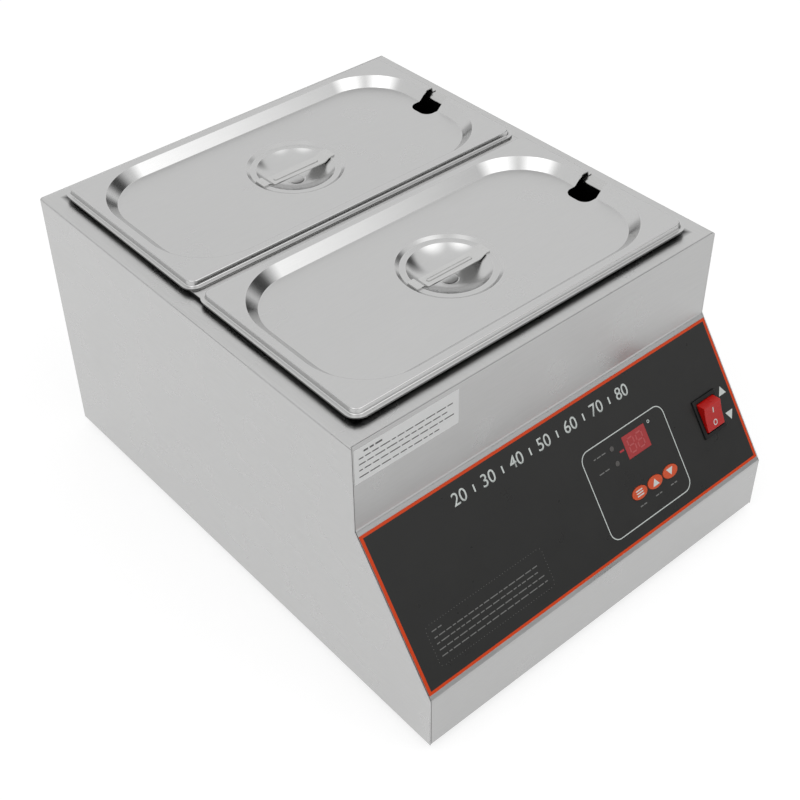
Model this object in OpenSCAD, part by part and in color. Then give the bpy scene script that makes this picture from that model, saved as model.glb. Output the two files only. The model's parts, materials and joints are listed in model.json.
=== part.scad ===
// Electric chocolate melting pot: two third-size food pans in a dry-heated stainless steel case
// Millimetres. X runs to the right, the front faces -Y, and the feet stand on z = 0.

/* [Pans] */
// Length of each pan over its rim
pan_len = 325; // [300:1:350]
// Width of each pan over its rim
pan_wid = 176; // [160:1:190]
// Depth of each pan from the top of its rim to its underside
pan_depth = 100; // [80:5:110]
// Thickness of the pan sheet
pan_t = 0.9; // [0.6:0.1:1.2]
// Width of the rim round the mouth
pan_rim = 10; // [8:0.5:12]
// Corner radius of the rim's outer edge
pan_rim_r = 11; // [8:1:14]
// Corner radius of the mouth
pan_mouth_r = 32; // [24:1:36]
// How far the pan's wall leans in from the mouth to the bottom
pan_lean = 7; // [3:0.5:10]
// Radius between the pan's wall and its bottom
pan_bottom_r = 14; // [8:1:18]
// Gap between the rims of the two pans
pan_gap = 6; // [4:0.5:12]

/* [Lids] */
// Thickness of the lid sheet
lid_t = 0.8; // [0.6:0.1:1]
// Width of the low lip round each lid
lid_lip = 3.2; // [2:0.1:5]
// Height of the lid's flat top over the underside of its lip
lid_rise = 4.8; // [3:0.1:7]
// How far the step between lip and flat leans in
lid_step_lean = 0.9; // [0.4:0.1:1.5]
// Corner radius of the lip
lid_corner_r = 10; // [8:1:14]
// Distance from the lip's edge to the edge of the sunk panel
lid_border = 10.6; // [9:0.1:14]
// Corner radius of the sunk panel at the top
lid_panel_r = 53; // [30:1:60]
// Depth of the sunk panel under the flat
lid_panel_depth = 8; // [5:0.5:10]
// How far the sunk panel's wall leans in
lid_panel_lean = 8.1; // [4:0.1:10]
// Bend radius of the lid's folds
lid_bend_r = 1.6; // [1:0.1:2]
// Width of the ladle notch
notch_wid = 22.5; // [16:0.5:28]
// Length of the ladle notch from the lid's edge
notch_len = 31.6; // [24:0.5:36]
// Radius of the notch's inner corners
notch_r = 8; // [4:0.5:9]

/* [Lid handles] */
// Diameter of the ring that the handle sits in
ring_d = 80; // [70:1:90]
// Depth of the ring's ledge under the sunk panel
ring_depth = 2; // [1:0.5:3]
// How far the ring's wall leans in
ring_lean = 3.3; // [1:0.1:4]
// Diameter of the finger bowl
bowl_d = 63.8; // [56:0.2:64]
// Depth of the finger bowl under the ledge
bowl_depth = 10.5; // [9:0.5:14]
// Diameter of the flat at the bottom of the bowl
bowl_flat_d = 16; // [10:1:20]
// Length of the strap handle
strap_len = 72.4; // [70:0.2:73]
// Width of the strap
strap_wid = 12; // [10:0.5:16]
// Thickness of the strap
strap_t = 1.2; // [1:0.1:1.5]
// How far each flat end of the strap reaches in over the bowl
strap_reach = 2.2; // [1:0.1:4]
// Length of each slope of the strap
strap_slope = 4; // [3:0.5:6]
// How far the strap's middle hangs under its ends
strap_drop = 2.5; // [1:0.5:3]

/* [Case] */
// Deck beside the pan rims on the left and right
deck_margin_side = 14.25; // [13:0.25:24]
// Deck in front of the front pan's rim
deck_margin_front = 13; // [12:0.5:24]
// Deck behind the rear pan's rim
deck_margin_back = 11; // [10:0.5:24]
// Height of the case without feet and pans
case_h = 229.5; // [215:0.5:260]
// How far the lower front stands out from the fascia
front_overhang = 75; // [60:1:85]
// Height of the upright fascia over the control panel
fascia_h = 75; // [60:1:85]
// Height of the upright strip under the control panel
lower_h = 48; // [35:1:60]
// Thickness of the case sheet
sheet = 1; // [0.8:0.1:1.2]
// Outside bend radius of the deck's long edges
deck_bend_r = 2; // [1.6:0.1:3]
// Visible seam between case sheets
seam = 0.2; // [0.1:0.05:0.4]
// Width of the turned-in edges of the case sheets
fold_w = 14; // [12:1:18]
// Height of the raised platform under the pan rims
platform_h = 3.3; // [2.5:0.1:5]
// How far the pan rims stand out over the platform's edge
platform_inset = 3; // [2:0.5:4]
// Corner radius of the platform
platform_r = 10; // [6:1:12]

/* [Wells] */
// Clearance between a pan's wall and its heated well
well_clear = 2; // [1.5:0.25:3]
// Clearance between a pan's underside and the well's floor
well_floor_clear = 3; // [2:0.5:6]
// Thickness of the cast aluminium well
well_t = 2.5; // [2:0.25:3]
// Width of the well's flange at the left and right
well_flange_side = 14; // [13:0.5:15]
// Share of the well's length that the heater mat covers
mat_len_share = 0.8; // [0.6:0.05:0.9]
// Share of the well's width that the heater mat covers
mat_wid_share = 0.66; // [0.5:0.02:0.75]
// Thickness of the heater mat
mat_t = 2; // [1.5:0.5:3]
// Thickness of the insulation slab
slab_t = 15; // [10:1:25]
// Thickness of the insulation tray's sheet
tray_t = 0.8; // [0.6:0.1:1]
// Height of the insulation tray's edges
tray_h = 12; // [8:1:14]

/* [Control panel] */
// Side margin of the printed overlay
overlay_side = 1.6; // [1.2:0.1:6]
// Bare metal above and below the overlay
overlay_end = 4.4; // [3:0.1:8]
// Thickness of the overlay
overlay_t = 0.4; // [0.2:0.1:0.6]
// Distance from the case's right side to the middle of the display
display_from_side = 108.5; // [100:0.5:130]
// Height of the display's middle up the slope
display_up = 72.1; // [68:0.1:78]
// Width of the display window
display_w = 24.8; // [20:0.2:30]
// Height of the display window
display_h = 18.6; // [14:0.2:20]
// Distance from the case's right side to the middle key
key_from_side = 106.5; // [95:0.5:125]
// Height of the keys' middles up the slope
key_up = 36.9; // [33:0.1:42]
// Distance between keys
key_pitch = 17.2; // [16.8:0.1:20]
// Half of a key's length
key_a = 7.9; // [6:0.1:8]
// Half of a key's height
key_b = 4.9; // [4:0.1:6]
// How far a key stands out of the overlay
key_proud = 0.6; // [0.5:0.1:1]
// How far a key travels
key_travel = 0.5; // [0.3:0.05:0.5]
// Distance from the display's middle to the indicator lamps
lamp_side = 24.4; // [20:0.2:28]
// Height of the upper lamp over the display's middle
lamp_over = 6.1; // [4:0.1:8]
// Radius of an indicator lamp
lamp_r = 2; // [1.5:0.1:2.5]

/* [Rocker switch] */
// Distance from the case's right side to the middle of the switch
switch_from_side = 32.4; // [24:0.2:45]
// Height of the switch's middle up the slope
switch_up = 57; // [50:0.5:65]
// Width of the bezel
bezel_w = 26; // [25:0.5:28]
// Height of the bezel
bezel_h = 32; // [31:0.5:35]
// Thickness of the bezel
bezel_t = 2; // [1.5:0.1:3]
// Width of the rocker
rocker_w = 19.5; // [17:0.1:20]
// Radius that the rocker sweeps about its pins
rocker_r = 12.6; // [12:0.1:12.8]
// Tilt of the rocker to each side
rocker_tilt = 13; // [8:1:14]
// Depth of the switch's body behind the panel
switch_depth = 24; // [22:1:28]

/* [Feet and gland] */
// Height of the feet under the case
foot_h = 8; // [5:1:15]
// Radius of a foot
foot_r = 12; // [9:0.5:14]
// Distance from the case's side walls to the middle of a foot
foot_inset = 40; // [34:1:60]
// Radius of the mains cable that the gland grips
cable_r = 3.9; // [3.2:0.1:4.2]
// Radius of the gland's thread
gland_r = 8; // [7:0.1:9]
// Distance from the case's right side to the gland
gland_from_side = 60; // [50:1:90]
// Height of the gland over the underside of the case
gland_up = 40; // [30:1:60]
// How far the gland stands out of the back
gland_out = 21; // [18:1:26]

/* [Hidden] */
$fn = 48;
over = 1;
case_w = pan_len + 2 * deck_margin_side;
pan_pitch = pan_wid + pan_gap;
deck_d = deck_margin_front + 2 * pan_wid + pan_gap + deck_margin_back;
case_d = front_overhang + deck_d;
y_front = -(case_d + gland_out) / 2;
y_back = y_front + case_d;
y_fascia = y_front + front_overhang;
y_pan = [
    y_fascia + deck_margin_front + pan_wid / 2,
    y_fascia + deck_margin_front + pan_wid / 2 + pan_pitch
];
y_middle = (y_pan[0] + y_pan[1]) / 2;
z_case = foot_h;
z_deck = z_case + case_h;
z_fold = z_deck - fascia_h;
z_lower = z_case + lower_h;
z_platform = z_deck + platform_h;
z_rim = z_platform + pan_t;
z_inside = z_case + 2 * sheet;

// Slope of the control panel
slope_rise = z_fold - z_lower;
slope_len = norm([front_overhang, slope_rise]);
slope_angle = atan2(slope_rise, front_overhang);

// Counts of points on rounded outlines and on leads
bend_steps = 3;
oval_steps = 48;
lead_steps = 6;
lead_sides = 8;
lead_reference = [0.3, 0.5, 0.8];

// Platform and wells
platform_x = pan_len - 2 * platform_inset;
platform_y = 2 * pan_wid + pan_gap - 2 * platform_inset;
mouth_x = pan_len - 2 * pan_rim;
mouth_y = pan_wid - 2 * pan_rim;
well_x = mouth_x + 2 * pan_t + 2 * well_clear;
well_y = mouth_y + 2 * pan_t + 2 * well_clear;
well_r = pan_mouth_r + pan_t + well_clear;
z_well_top = z_deck - sheet;
z_well_floor = z_rim - pan_depth - well_floor_clear;
z_well_under = z_well_floor - well_t;
z_slab_under = z_well_under - slab_t;
well_out_x = well_x + 2 * well_t;
well_out_y = well_y + 2 * well_t;
flange_gap = 0.4;
well_flange_y = pan_pitch - flange_gap;
mat_x = well_x * mat_len_share;
mat_y = well_y * mat_wid_share;

// Studs that hold the wells to the deck
stud_r = 2;
stud_len = 11;
stud_clear = 0.25;
nut_clear = 0.05;
nut_r = 4;
nut_h = 3.2;
stud_x = case_w / 2 - sheet - (case_w / 2 - sheet - platform_x / 2) / 2;
stud_y_share = 0.36;
stud_rows = [-1, 0, 1];

// Bolts that hold the insulation trays
tray_bolt_x_share = 0.44;
tray_bolt_y_share = 0.4;
bolt_head_h = 2.4;

// Screws in the back and the base
screw_r = 1.9;
screw_head_r = 3.6;
screw_head_h = 1.8;
screw_len = 7;
screw_clear = 0.1;
drive_r = 1.1;
screw_y_shares = [-0.4, -0.05, 0.3];
screw_z_shares = [0.12, 0.5, 0.88];

// Lamps, keys and display
display_x = case_w / 2 - display_from_side;
keys_x = case_w / 2 - key_from_side;
key_gap = 0.3;
key_rim = 1.4;
key_rim_t = 1.2;
plunger_r = 1.5;
plunger_clear = 0.06;
tact_w = 6;
tact_h = 3.8;
tact_well = 1.6;
board_t = 1.6;
board_gap = 9;
board_margin = 9;
board_right = keys_x + key_pitch + key_a + board_margin;
board_left = display_x - lamp_side - lamp_r - board_margin;
board_low = key_up - key_b - board_margin;
board_high = display_up + display_h / 2 + board_margin;
board_hole_in = 4;
spacer_r = 2.6;
spacer_tip_r = 1.5;
spacer_tip = 3.6;
lens_gap = 0.15;
lamp_gap = 0.1;
lamp_proud = 0.3;
module_gap = 0.2;

// Rocker switch
switch_x = case_w / 2 - switch_from_side;
rocker_gap = 0.3;
housing_wall = 1.1;
housing_w = rocker_w + 2 * rocker_gap + 2 * housing_wall;
housing_h = 2 * (rocker_r + rocker_gap + housing_wall);
housing_gap = 0.2;
pin_r = 1.5;
pin_len = 0.8;
pin_clear = 0.05;
pivot_in = 1;
bezel_chamfer = 0.8;
crest_share = 0.83;
crest_high_share = 0.545;
dish_share = 0.49;
skirt_share = 0.95;
skirt_low_share = 0.3;
blade_w = 6.3;
blade_t = 0.8;
blade_len = 8;
blade_side_share = 0.25;
blade_up_share = 0.28;

// Note sticker on the fascia
sticker_w = 90;
sticker_h = 30;
sticker_t = 0.15;
sticker_side = 2.2;
sticker_top = 3.6;

// Feet
foot_taper = 2;
foot_bore_r = 5;
foot_bore_h = 5;
foot_web = foot_h + sheet - foot_bore_h;
foot_screw_r = 2.4;
foot_screw_clear = 0.1;
foot_head_r = 4.4;
foot_head_h = 2.4;
foot_nut_r = 4.6;
foot_nut_h = 3.6;
foot_x = case_w / 2 - foot_inset;
foot_y = [y_front + foot_inset, y_back - foot_inset];

// Vents in the base and the back
vent_w = 3.4;
vent_len = 44;
vent_pitch = 10;
vent_rows = 8;
back_vent_len = 26;
vent_side_share = 0.36;

// Gland
gland_x = case_w / 2 - gland_from_side;
gland_z = z_case + gland_up;
gland_thread_in = 12;
gland_thread_out = 15;
gland_collar_r = 12;
gland_collar_t = 4.5;
gland_lock_r = 12.5;
gland_lock_t = 3.4;
gland_lock_clear = 0.1;
seal_wall = 1.6;
seal_clear = 0.1;
dome_wall = 2.2;
dome_gap = 0.1;
dome_mouth_clear = 0.6;
gland_hole_clear = 0.2;

// Electrical parts on the base
power_x = 124;
power_y = 78;
power_share = [-0.12, 0.02];
power_at = [case_w * power_share[0], y_middle + case_d * power_share[1]];
pillar_h = 9;
pillar_r = 3;
pillar_in = 5;
relay_size = [30, 17, 19];
coil_size = [42, 34, 30];
coil_core_t = 9;
block_size = [46, 20, 16];
block_ways = 4;
block_slot = 5;
block_back = 70;
stud_at_side = 36;
earth_r = 2.5;
earth_h = 16;
earth_nut_r = 4.6;
earth_nut_h = 4;
earth_clear = 0.06;
earth_washer_r = 5.5;
earth_washer_t = 1;
cutout_r = 8;
cutout_h = 7;
cutout_tab = 9;
cutout_tab_t = 0.8;
cutout_tab_w = 6.3;
cutout_share = 0.28;
probe_r = 2.5;
probe_len = 34;
probe_clear = 0.1;
clip_t = 1;
clip_w = 9;
clip_foot = 8;
probe_x_share = 0.2;
probe_up_share = 0.3;
lead_r = 1.2;
lead_gap = 4.5;
ribbon_w = 14;
ribbon_t = 1;
lead_drop = 14;
lead_seat = 0.3;

// Unit normal on the left of the run from a to b
function left_normal(a, b) = let (d = b - a) [-d[1], d[0]] / norm(d);

// Point i of a path moved by t to the left, mitred at the bends
function inset_point(path, i, t) =
    let (
        last = len(path) - 1,
        after = i == last ? left_normal(path[i - 1], path[i]) : left_normal(path[i], path[i + 1]),
        before = i == 0 ? after : left_normal(path[i - 1], path[i])
    )
    path[i] + t * (before + after) / (1 + before * after);

// Sharp corner b between a and c, rounded with radius r
function bend(a, b, c, r) =
    let (
        u = (a - b) / norm(a - b),
        v = (c - b) / norm(c - b),
        half = acos(u * v) / 2,
        centre = b + (u + v) / norm(u + v) * r / sin(half),
        start = b + u * r / tan(half) - centre,
        end = b + v * r / tan(half) - centre,
        turn = (start[0] * end[1] - start[1] * end[0] > 0 ? 1 : -1) * (180 - 2 * half)
    )
    [for (k = [0:bend_steps]) let (q = turn * k / bend_steps)
        centre + [start[0] * cos(q) - start[1] * sin(q), start[0] * sin(q) + start[1] * cos(q)]];

// A path with every inner corner rounded with radius r
function rounded(path, r) = [
    for (i = [0:len(path) - 1])
        each (i == 0 || i == len(path) - 1 ? [path[i]] : bend(path[i - 1], path[i], path[i + 1], r))
];

function oval(a, b) = [for (i = [0:oval_steps - 1]) let (q = 360 * i / oval_steps) [a * cos(q), b * sin(q)]];

// Sheet of thickness t on the left of a path
module folded_sheet(path, t) {
    polygon(concat(path, [for (i = [len(path) - 1:-1:0]) inset_point(path, i, t)]));
}

module round_rect(x, y, r) {
    square([x - 2 * r, y], center = true);
    square([x, y - 2 * r], center = true);
    for (sx = [-1, 1], sy = [-1, 1])
        translate([sx * (x / 2 - r), sy * (y / 2 - r)])
            circle(r);
}

// Slot along x or y with fully round ends
module slot(x, y) {
    r = min(x, y) / 2;
    square([x > y ? x - 2 * r : x, x > y ? y : y - 2 * r], center = true);
    for (s = [-1, 1])
        translate(x > y ? [s * (x / 2 - r), 0] : [0, s * (y / 2 - r)])
            circle(r);
}

// Carries an upright section round a rectangle, with its corners turned about the rectangle's corners
module sweep_round(core_x, core_y) {
    for (q = [0:3]) {
        half = q % 2 == 0 ? [core_x, core_y] / 2 : [core_y, core_x] / 2;
        rotate([0, 0, 90 * q]) {
            translate([half[0], 0, 0])
                rotate([90, 0, 0])
                    linear_extrude(2 * half[1], center = true) children();
            translate([half[0], half[1], 0])
                rotate_extrude(angle = 90) children();
        }
    }
}

// Places children on the control panel: x across, y up the slope, z out of it
module on_slope() {
    translate([0, y_front, z_lower])
        rotate([slope_angle, 0, 0])
            children();
}

// Sweeps a section drawn in y and z along X, symmetrically
module along_x(width) {
    rotate([90, 0, 90])
        linear_extrude(width, center = true)
            children();
}

module ring_nut(r, bore, h) {
    difference() {
        cylinder(r = r, h = h, $fn = 6);
        translate([0, 0, -over])
            cylinder(r = bore, h = h + 2 * over);
    }
}

// Heading of a curve at point i of its list, no longer than the shorter run beside it
function heading(p, i) =
    i == 0 ? p[1] - p[0]
    : i == len(p) - 1 ? p[i] - p[i - 1]
    : unit(p[i + 1] - p[i - 1]) * min(norm(p[i + 1] - p[i]), norm(p[i] - p[i - 1]));

// Smooth curve through a list of points
function curve(p) = let (last = len(p) - 1) [
    for (i = [0:last - 1])
        let (m = heading(p, i), n = heading(p, i + 1))
        for (k = [0:lead_steps - (i == last - 1 ? 0 : 1)])
            let (t = k / lead_steps, u = t * t, v = t * u)
            p[i] * (2 * v - 3 * u + 1) + p[i + 1] * (3 * u - 2 * v) + m * (v - 2 * u + t) + n * (v - u)
];

function unit(v) = v / norm(v);

// Round wire of radius r along a smooth curve through a list of points
module wire(points, r) {
    path = curve(points);
    last = len(path) - 1;
    rings = [
        for (i = [0:last])
            let (
                along = unit(path[min(i + 1, last)] - path[max(i - 1, 0)]),
                side = unit(cross(along, lead_reference)),
                up = cross(along, side)
            )
            for (q = [0:lead_sides - 1])
                path[i] + r * (cos(360 * q / lead_sides) * side + sin(360 * q / lead_sides) * up)
    ];
    polyhedron(rings, concat(
        [[for (q = [0:lead_sides - 1]) q]],
        [for (i = [0:last - 1], q = [0:lead_sides - 1])
            let (a = i * lead_sides, b = (q + 1) % lead_sides)
            each [[a + q, a + lead_sides + b, a + b], [a + q, a + lead_sides + q, a + lead_sides + b]]],
        [[for (q = [lead_sides - 1:-1:0]) last * lead_sides + q]]
    ));
}

// Outline of the case from the front
module case_outline(inset) {
    r = deck_bend_r - inset;
    x = case_w / 2 - deck_bend_r;
    translate([-x - r, z_case])
        square([2 * (x + r), case_h - deck_bend_r]);
    translate([-x, z_case])
        square([2 * x, case_h - inset]);
    for (s = [-1, 1])
        translate([s * x, z_deck - deck_bend_r])
            circle(r);
}

// Outline of the case from the side
module side_outline() {
    polygon([
        [y_front, z_case], [y_front, z_lower], [y_fascia, z_fold],
        [y_fascia, z_deck], [y_back, z_deck], [y_back, z_case]
    ]);
}

module mouth_outline(extra) {
    round_rect(mouth_x + 2 * extra, mouth_y + 2 * extra, pan_mouth_r + extra);
}

module outer_shell() {
    color([0.74, 0.74, 0.74])
    difference() {
        union() {
            // Deck and both sides, folded from one sheet
            intersection() {
                translate([0, y_back, 0])
                    rotate([90, 0, 0])
                        linear_extrude(case_d)
                            difference() {
                                case_outline(0);
                                case_outline(sheet);
                                translate([-case_w / 2 + sheet, z_case - over])
                                    square([case_w - 2 * sheet, case_h / 2]);
                            }
                along_x(case_w + 2 * over) side_outline();
            }
            // Platform under the pan rims
            translate([0, y_middle, z_deck - sheet])
                linear_extrude(platform_h + sheet)
                    round_rect(platform_x, platform_y, platform_r);
            // Turned-down edges of the deck behind the fascia and before the back panel
            for (y = [y_fascia + sheet + seam, y_back - 2 * sheet - seam])
                translate([-case_w / 2 + deck_bend_r, y, z_deck - fold_w])
                    cube([case_w - 2 * deck_bend_r, sheet, fold_w]);
            // Turned-in bottom and rear edges of the sides
            for (s = [-1, 1]) {
                translate([s * (case_w / 2 - fold_w / 2), 0, z_case + sheet / 2])
                    translate([0, (y_front + y_back) / 2, 0])
                        cube([fold_w, case_d - 2 * (fold_w + sheet), sheet], center = true);
                translate([s * (case_w / 2 - fold_w / 2), y_back - sheet - seam - sheet / 2, z_case + case_h / 2])
                    cube([fold_w, sheet, case_h - 2 * (fold_w + sheet)], center = true);
            }
            // Welded studs for the wells
            for (s = [-1, 1], y = y_pan, k = stud_rows)
                translate([s * stud_x, y + k * stud_y_share * pan_wid, z_well_top - stud_len])
                    cylinder(r = stud_r, h = stud_len + sheet / 2);
        }
        // Hollow under the platform, and the mouths for the pans
        translate([0, y_middle, z_deck - sheet - over])
            linear_extrude(platform_h + over)
                round_rect(platform_x - 2 * sheet, platform_y - 2 * sheet, platform_r - sheet);
        for (y = y_pan)
            translate([0, y, z_deck - sheet - over])
                linear_extrude(platform_h + sheet + 2 * over)
                    mouth_outline(pan_t + well_clear);
        // Room for the front and back panels between the sides
        for (y = [y_fascia - over, y_back - sheet - seam])
            translate([-case_w / 2 + sheet, y, z_deck - case_h / 2])
                cube([case_w - 2 * sheet, sheet + seam + over, case_h]);
        // Screw holes in the turned-in edges
        screw_places_base() cylinder(r = screw_r + screw_clear, h = fold_w, center = true);
        screw_places_back() cylinder(r = screw_r + screw_clear, h = fold_w, center = true);
    }
}

// Middles of the base screws, looking up
module screw_places_base() {
    for (s = [-1, 1], k = screw_y_shares)
        translate([s * (case_w / 2 - fold_w / 2), (y_front + y_back) / 2 + k * case_d, z_case])
            children();
}

// Middles of the back screws, looking at -Y
module screw_places_back() {
    for (s = [-1, 1], k = screw_z_shares)
        translate([s * (case_w / 2 - fold_w / 2), y_back, z_case + k * case_h])
            rotate([90, 0, 0])
                children();
}

module front_panel() {
    color([0.68, 0.68, 0.68])
    difference() {
        intersection() {
            along_x(case_w - 2 * sheet - 2 * seam)
                folded_sheet([
                    [y_front + fold_w, z_case], [y_front, z_case], [y_front, z_lower],
                    [y_fascia, z_fold], [y_fascia, z_deck]
                ], -sheet);
            translate([0, y_back, 0])
                rotate([90, 0, 0])
                    linear_extrude(case_d + over)
                        case_outline(0);
        }
        on_slope() panel_cuts(0);
    }
}

// Openings through the control panel, widened by extra
module panel_cuts(extra) {
    depth = 2 * (sheet + over);
    translate([display_x, display_up, 0])
        cube([display_w + 2 * extra, display_h + 2 * extra, depth], center = true);
    for (k = [-1, 0, 1])
        translate([keys_x + k * key_pitch, key_up, -depth / 2])
            linear_extrude(depth)
                polygon(oval(key_a + key_gap + extra, key_b + key_gap + extra));
    for (k = [-1, 1])
        translate([display_x - lamp_side, display_up + k * lamp_over, -depth / 2])
            cylinder(r = lamp_r + lamp_gap + extra, h = depth);
    translate([switch_x, switch_up, 0])
        cube([housing_w + 2 * housing_gap, housing_h + 2 * housing_gap, depth], center = true);
}

module panel_overlay() {
    color([0.2, 0.2, 0.2])
    on_slope()
    difference() {
        translate([-case_w / 2 + overlay_side, overlay_end, 0])
            cube([case_w - 2 * overlay_side, slope_len - 2 * overlay_end, overlay_t]);
        panel_cuts(0);
    }
}

module back_panel() {
    w = case_w - 2 * sheet - 2 * seam;
    color([0.66, 0.66, 0.66])
    difference() {
        intersection() {
            along_x(w)
                folded_sheet([
                    [y_back - fold_w, z_case], [y_back, z_case], [y_back, z_deck]
                ], sheet);
            translate([0, y_back + over, 0])
                rotate([90, 0, 0])
                    linear_extrude(case_d)
                        case_outline(0);
        }
        // Mains gland, screws and vents
        translate([gland_x, y_back + over, gland_z])
            rotate([90, 0, 0])
                cylinder(r = gland_r + gland_hole_clear, h = sheet + 2 * over);
        screw_places_back() cylinder(r = screw_r + screw_clear, h = fold_w, center = true);
        for (k = [0:vent_rows - 1])
            translate([(k - (vent_rows - 1) / 2) * vent_pitch, y_back, z_case + case_h / 2])
                rotate([90, 0, 0])
                    linear_extrude(2 * (sheet + over), center = true)
                        slot(vent_w, back_vent_len);
    }
}

module bottom_plate() {
    x = case_w - 2 * sheet - 2 * seam;
    y = case_d - 2 * sheet - 2 * seam;
    color([0.6, 0.6, 0.6])
    difference() {
        translate([0, (y_front + y_back) / 2, z_case + 1.5 * sheet])
            cube([x, y, sheet], center = true);
        for (s = [-1, 1], k = [0:vent_rows - 1])
            translate([s * case_w * vent_side_share, y_middle + (k - (vent_rows - 1) / 2) * vent_pitch, z_case])
                linear_extrude(2 * sheet + over)
                    slot(vent_len, vent_w);
        screw_places_base() cylinder(r = screw_r + screw_clear, h = fold_w, center = true);
        foot_places() cylinder(r = foot_screw_r + foot_screw_clear, h = 2 * fold_w, center = true);
    }
}

module foot_places() {
    for (s = [-1, 1], y = foot_y)
        translate([s * foot_x, y, z_case])
            children();
}

module foot(side, y) {
    color([0.12, 0.12, 0.12])
    translate([side * foot_x, y, 0])
    difference() {
        cylinder(r1 = foot_r - foot_taper, r2 = foot_r, h = foot_h + sheet);
        translate([0, 0, -over])
            cylinder(r = foot_bore_r, h = foot_bore_h + over);
        cylinder(r = foot_screw_r + foot_screw_clear, h = foot_h + sheet + over);
    }
}

// One screw from below, its head against z = 0 and its shank upwards
module screw(r, head_r, head_h, len) {
    difference() {
        union() {
            translate([0, 0, -head_h])
                cylinder(r1 = head_r - head_h / 2, r2 = head_r, h = head_h);
            cylinder(r = r, h = len);
        }
        translate([0, 0, -head_h - over])
            cylinder(r = drive_r, h = head_h / 2 + over, $fn = 6);
    }
}

module foot_screws() {
    color([0.7, 0.7, 0.68])
    for (s = [-1, 1], y = foot_y)
        translate([s * foot_x, y, 0]) {
            translate([0, 0, foot_bore_h])
                screw(foot_screw_r, foot_head_r, foot_head_h, foot_web + sheet + foot_nut_h);
            translate([0, 0, z_inside])
                ring_nut(foot_nut_r, foot_screw_r + nut_clear, foot_nut_h);
        }
}

module base_screws() {
    color([0.7, 0.7, 0.68])
    screw_places_base() screw(screw_r, screw_head_r, screw_head_h, screw_len);
}

module back_screws() {
    color([0.7, 0.7, 0.68])
    screw_places_back() screw(screw_r, screw_head_r, screw_head_h, screw_len);
}

module well(y) {
    color([0.72, 0.73, 0.75])
    translate([0, y, 0]) {
        difference() {
            union() {
                translate([0, 0, z_well_under])
                    linear_extrude(z_well_top - z_well_under)
                        round_rect(well_out_x, well_out_y, well_r + well_t);
                translate([0, 0, z_well_top - well_t])
                    linear_extrude(well_t)
                        square([well_out_x + 2 * well_flange_side, well_flange_y], center = true);
            }
            translate([0, 0, z_well_floor])
                linear_extrude(z_well_top)
                    round_rect(well_x, well_y, well_r);
            for (s = [-1, 1], k = stud_rows)
                translate([s * stud_x, k * stud_y_share * pan_wid, z_well_top - well_t - over])
                    cylinder(r = stud_r + stud_clear, h = well_t + 2 * over);
        }
    }
}

module well_nuts() {
    color([0.78, 0.76, 0.7])
    for (s = [-1, 1], y = y_pan, k = stud_rows)
        translate([s * stud_x, y + k * stud_y_share * pan_wid, z_well_top - well_t - nut_h])
            ring_nut(nut_r, stud_r + nut_clear, nut_h);
}

module heater_mat(y) {
    color([0.75, 0.3, 0.12])
    translate([0, y, z_well_under - mat_t])
        linear_extrude(mat_t)
            round_rect(mat_x, mat_y, mat_t * 2);
}

module tray_bolt_places(y) {
    for (sx = [-1, 1], sy = [-1, 1])
        translate([sx * tray_bolt_x_share * well_out_x, y + sy * tray_bolt_y_share * well_out_y, 0])
            children();
}

module insulation(y) {
    color([0.86, 0.84, 0.78])
    difference() {
        translate([-well_out_x / 2 + tray_t, y - well_out_y / 2 + tray_t, z_slab_under])
            cube([well_out_x - 2 * tray_t, well_out_y - 2 * tray_t, slab_t]);
        translate([0, y, z_well_under - mat_t])
            linear_extrude(mat_t + over)
                round_rect(mat_x, mat_y, mat_t * 2);
        tray_bolt_places(y)
            translate([0, 0, z_slab_under - over])
                cylinder(r = stud_r + stud_clear, h = slab_t + 2 * over);
        // Room for the thermal cut-out
        translate([cutout_share * well_out_x, y, z_slab_under - over])
            cylinder(r = cutout_r + stud_clear, h = slab_t);
    }
}

module insulation_tray(y) {
    color([0.64, 0.65, 0.66])
    difference() {
        translate([-well_out_x / 2, y - well_out_y / 2, z_slab_under - tray_t])
            cube([well_out_x, well_out_y, tray_t + tray_h]);
        translate([-well_out_x / 2 + tray_t, y - well_out_y / 2 + tray_t, z_slab_under])
            cube([well_out_x - 2 * tray_t, well_out_y - 2 * tray_t, tray_h + over]);
        tray_bolt_places(y)
            translate([0, 0, z_slab_under - tray_t - over])
                cylinder(r = stud_r + stud_clear, h = tray_t + 2 * over);
        translate([cutout_share * well_out_x, y, z_slab_under - tray_t - over])
            cylinder(r = cutout_r + stud_clear, h = tray_t + 2 * over);
    }
}

module tray_bolts() {
    color([0.75, 0.74, 0.7])
    for (y = y_pan)
        tray_bolt_places(y) {
            translate([0, 0, z_slab_under - tray_t - bolt_head_h])
                cylinder(r = nut_r, h = bolt_head_h, $fn = 6);
            translate([0, 0, z_slab_under - tray_t])
                cylinder(r = stud_r, h = slab_t + tray_t);
        }
}

// Disc thermostats clamped up against the wells inside the insulation
module thermal_cutouts() {
    color([0.9, 0.88, 0.82])
    for (y = y_pan)
        translate([cutout_share * well_out_x, y, z_well_under - slab_t + mat_t - tray_t]) {
            cylinder(r = cutout_r, h = slab_t - 2 * mat_t + tray_t);
            for (s = [-1, 1])
                translate([s * cutout_r / 2 - cutout_tab_t / 2, -cutout_tab_w / 2, -cutout_tab])
                    cube([cutout_tab_t, cutout_tab_w, cutout_tab]);
        }
}

// Sensor on the left wall of the front well
probe_x = -(well_out_x / 2 + probe_r);
probe_y = y_pan[0] + probe_x_share * well_out_y;
probe_z = z_well_under + probe_up_share * (z_well_top - z_well_under);

module temperature_probe() {
    color([0.8, 0.8, 0.8])
    translate([probe_x, probe_y, probe_z]) {
        rotate([90, 0, 0])
            cylinder(r = probe_r, h = probe_len, center = true);
        translate([0, -probe_len / 2, 0])
            sphere(probe_r);
    }
}

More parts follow.
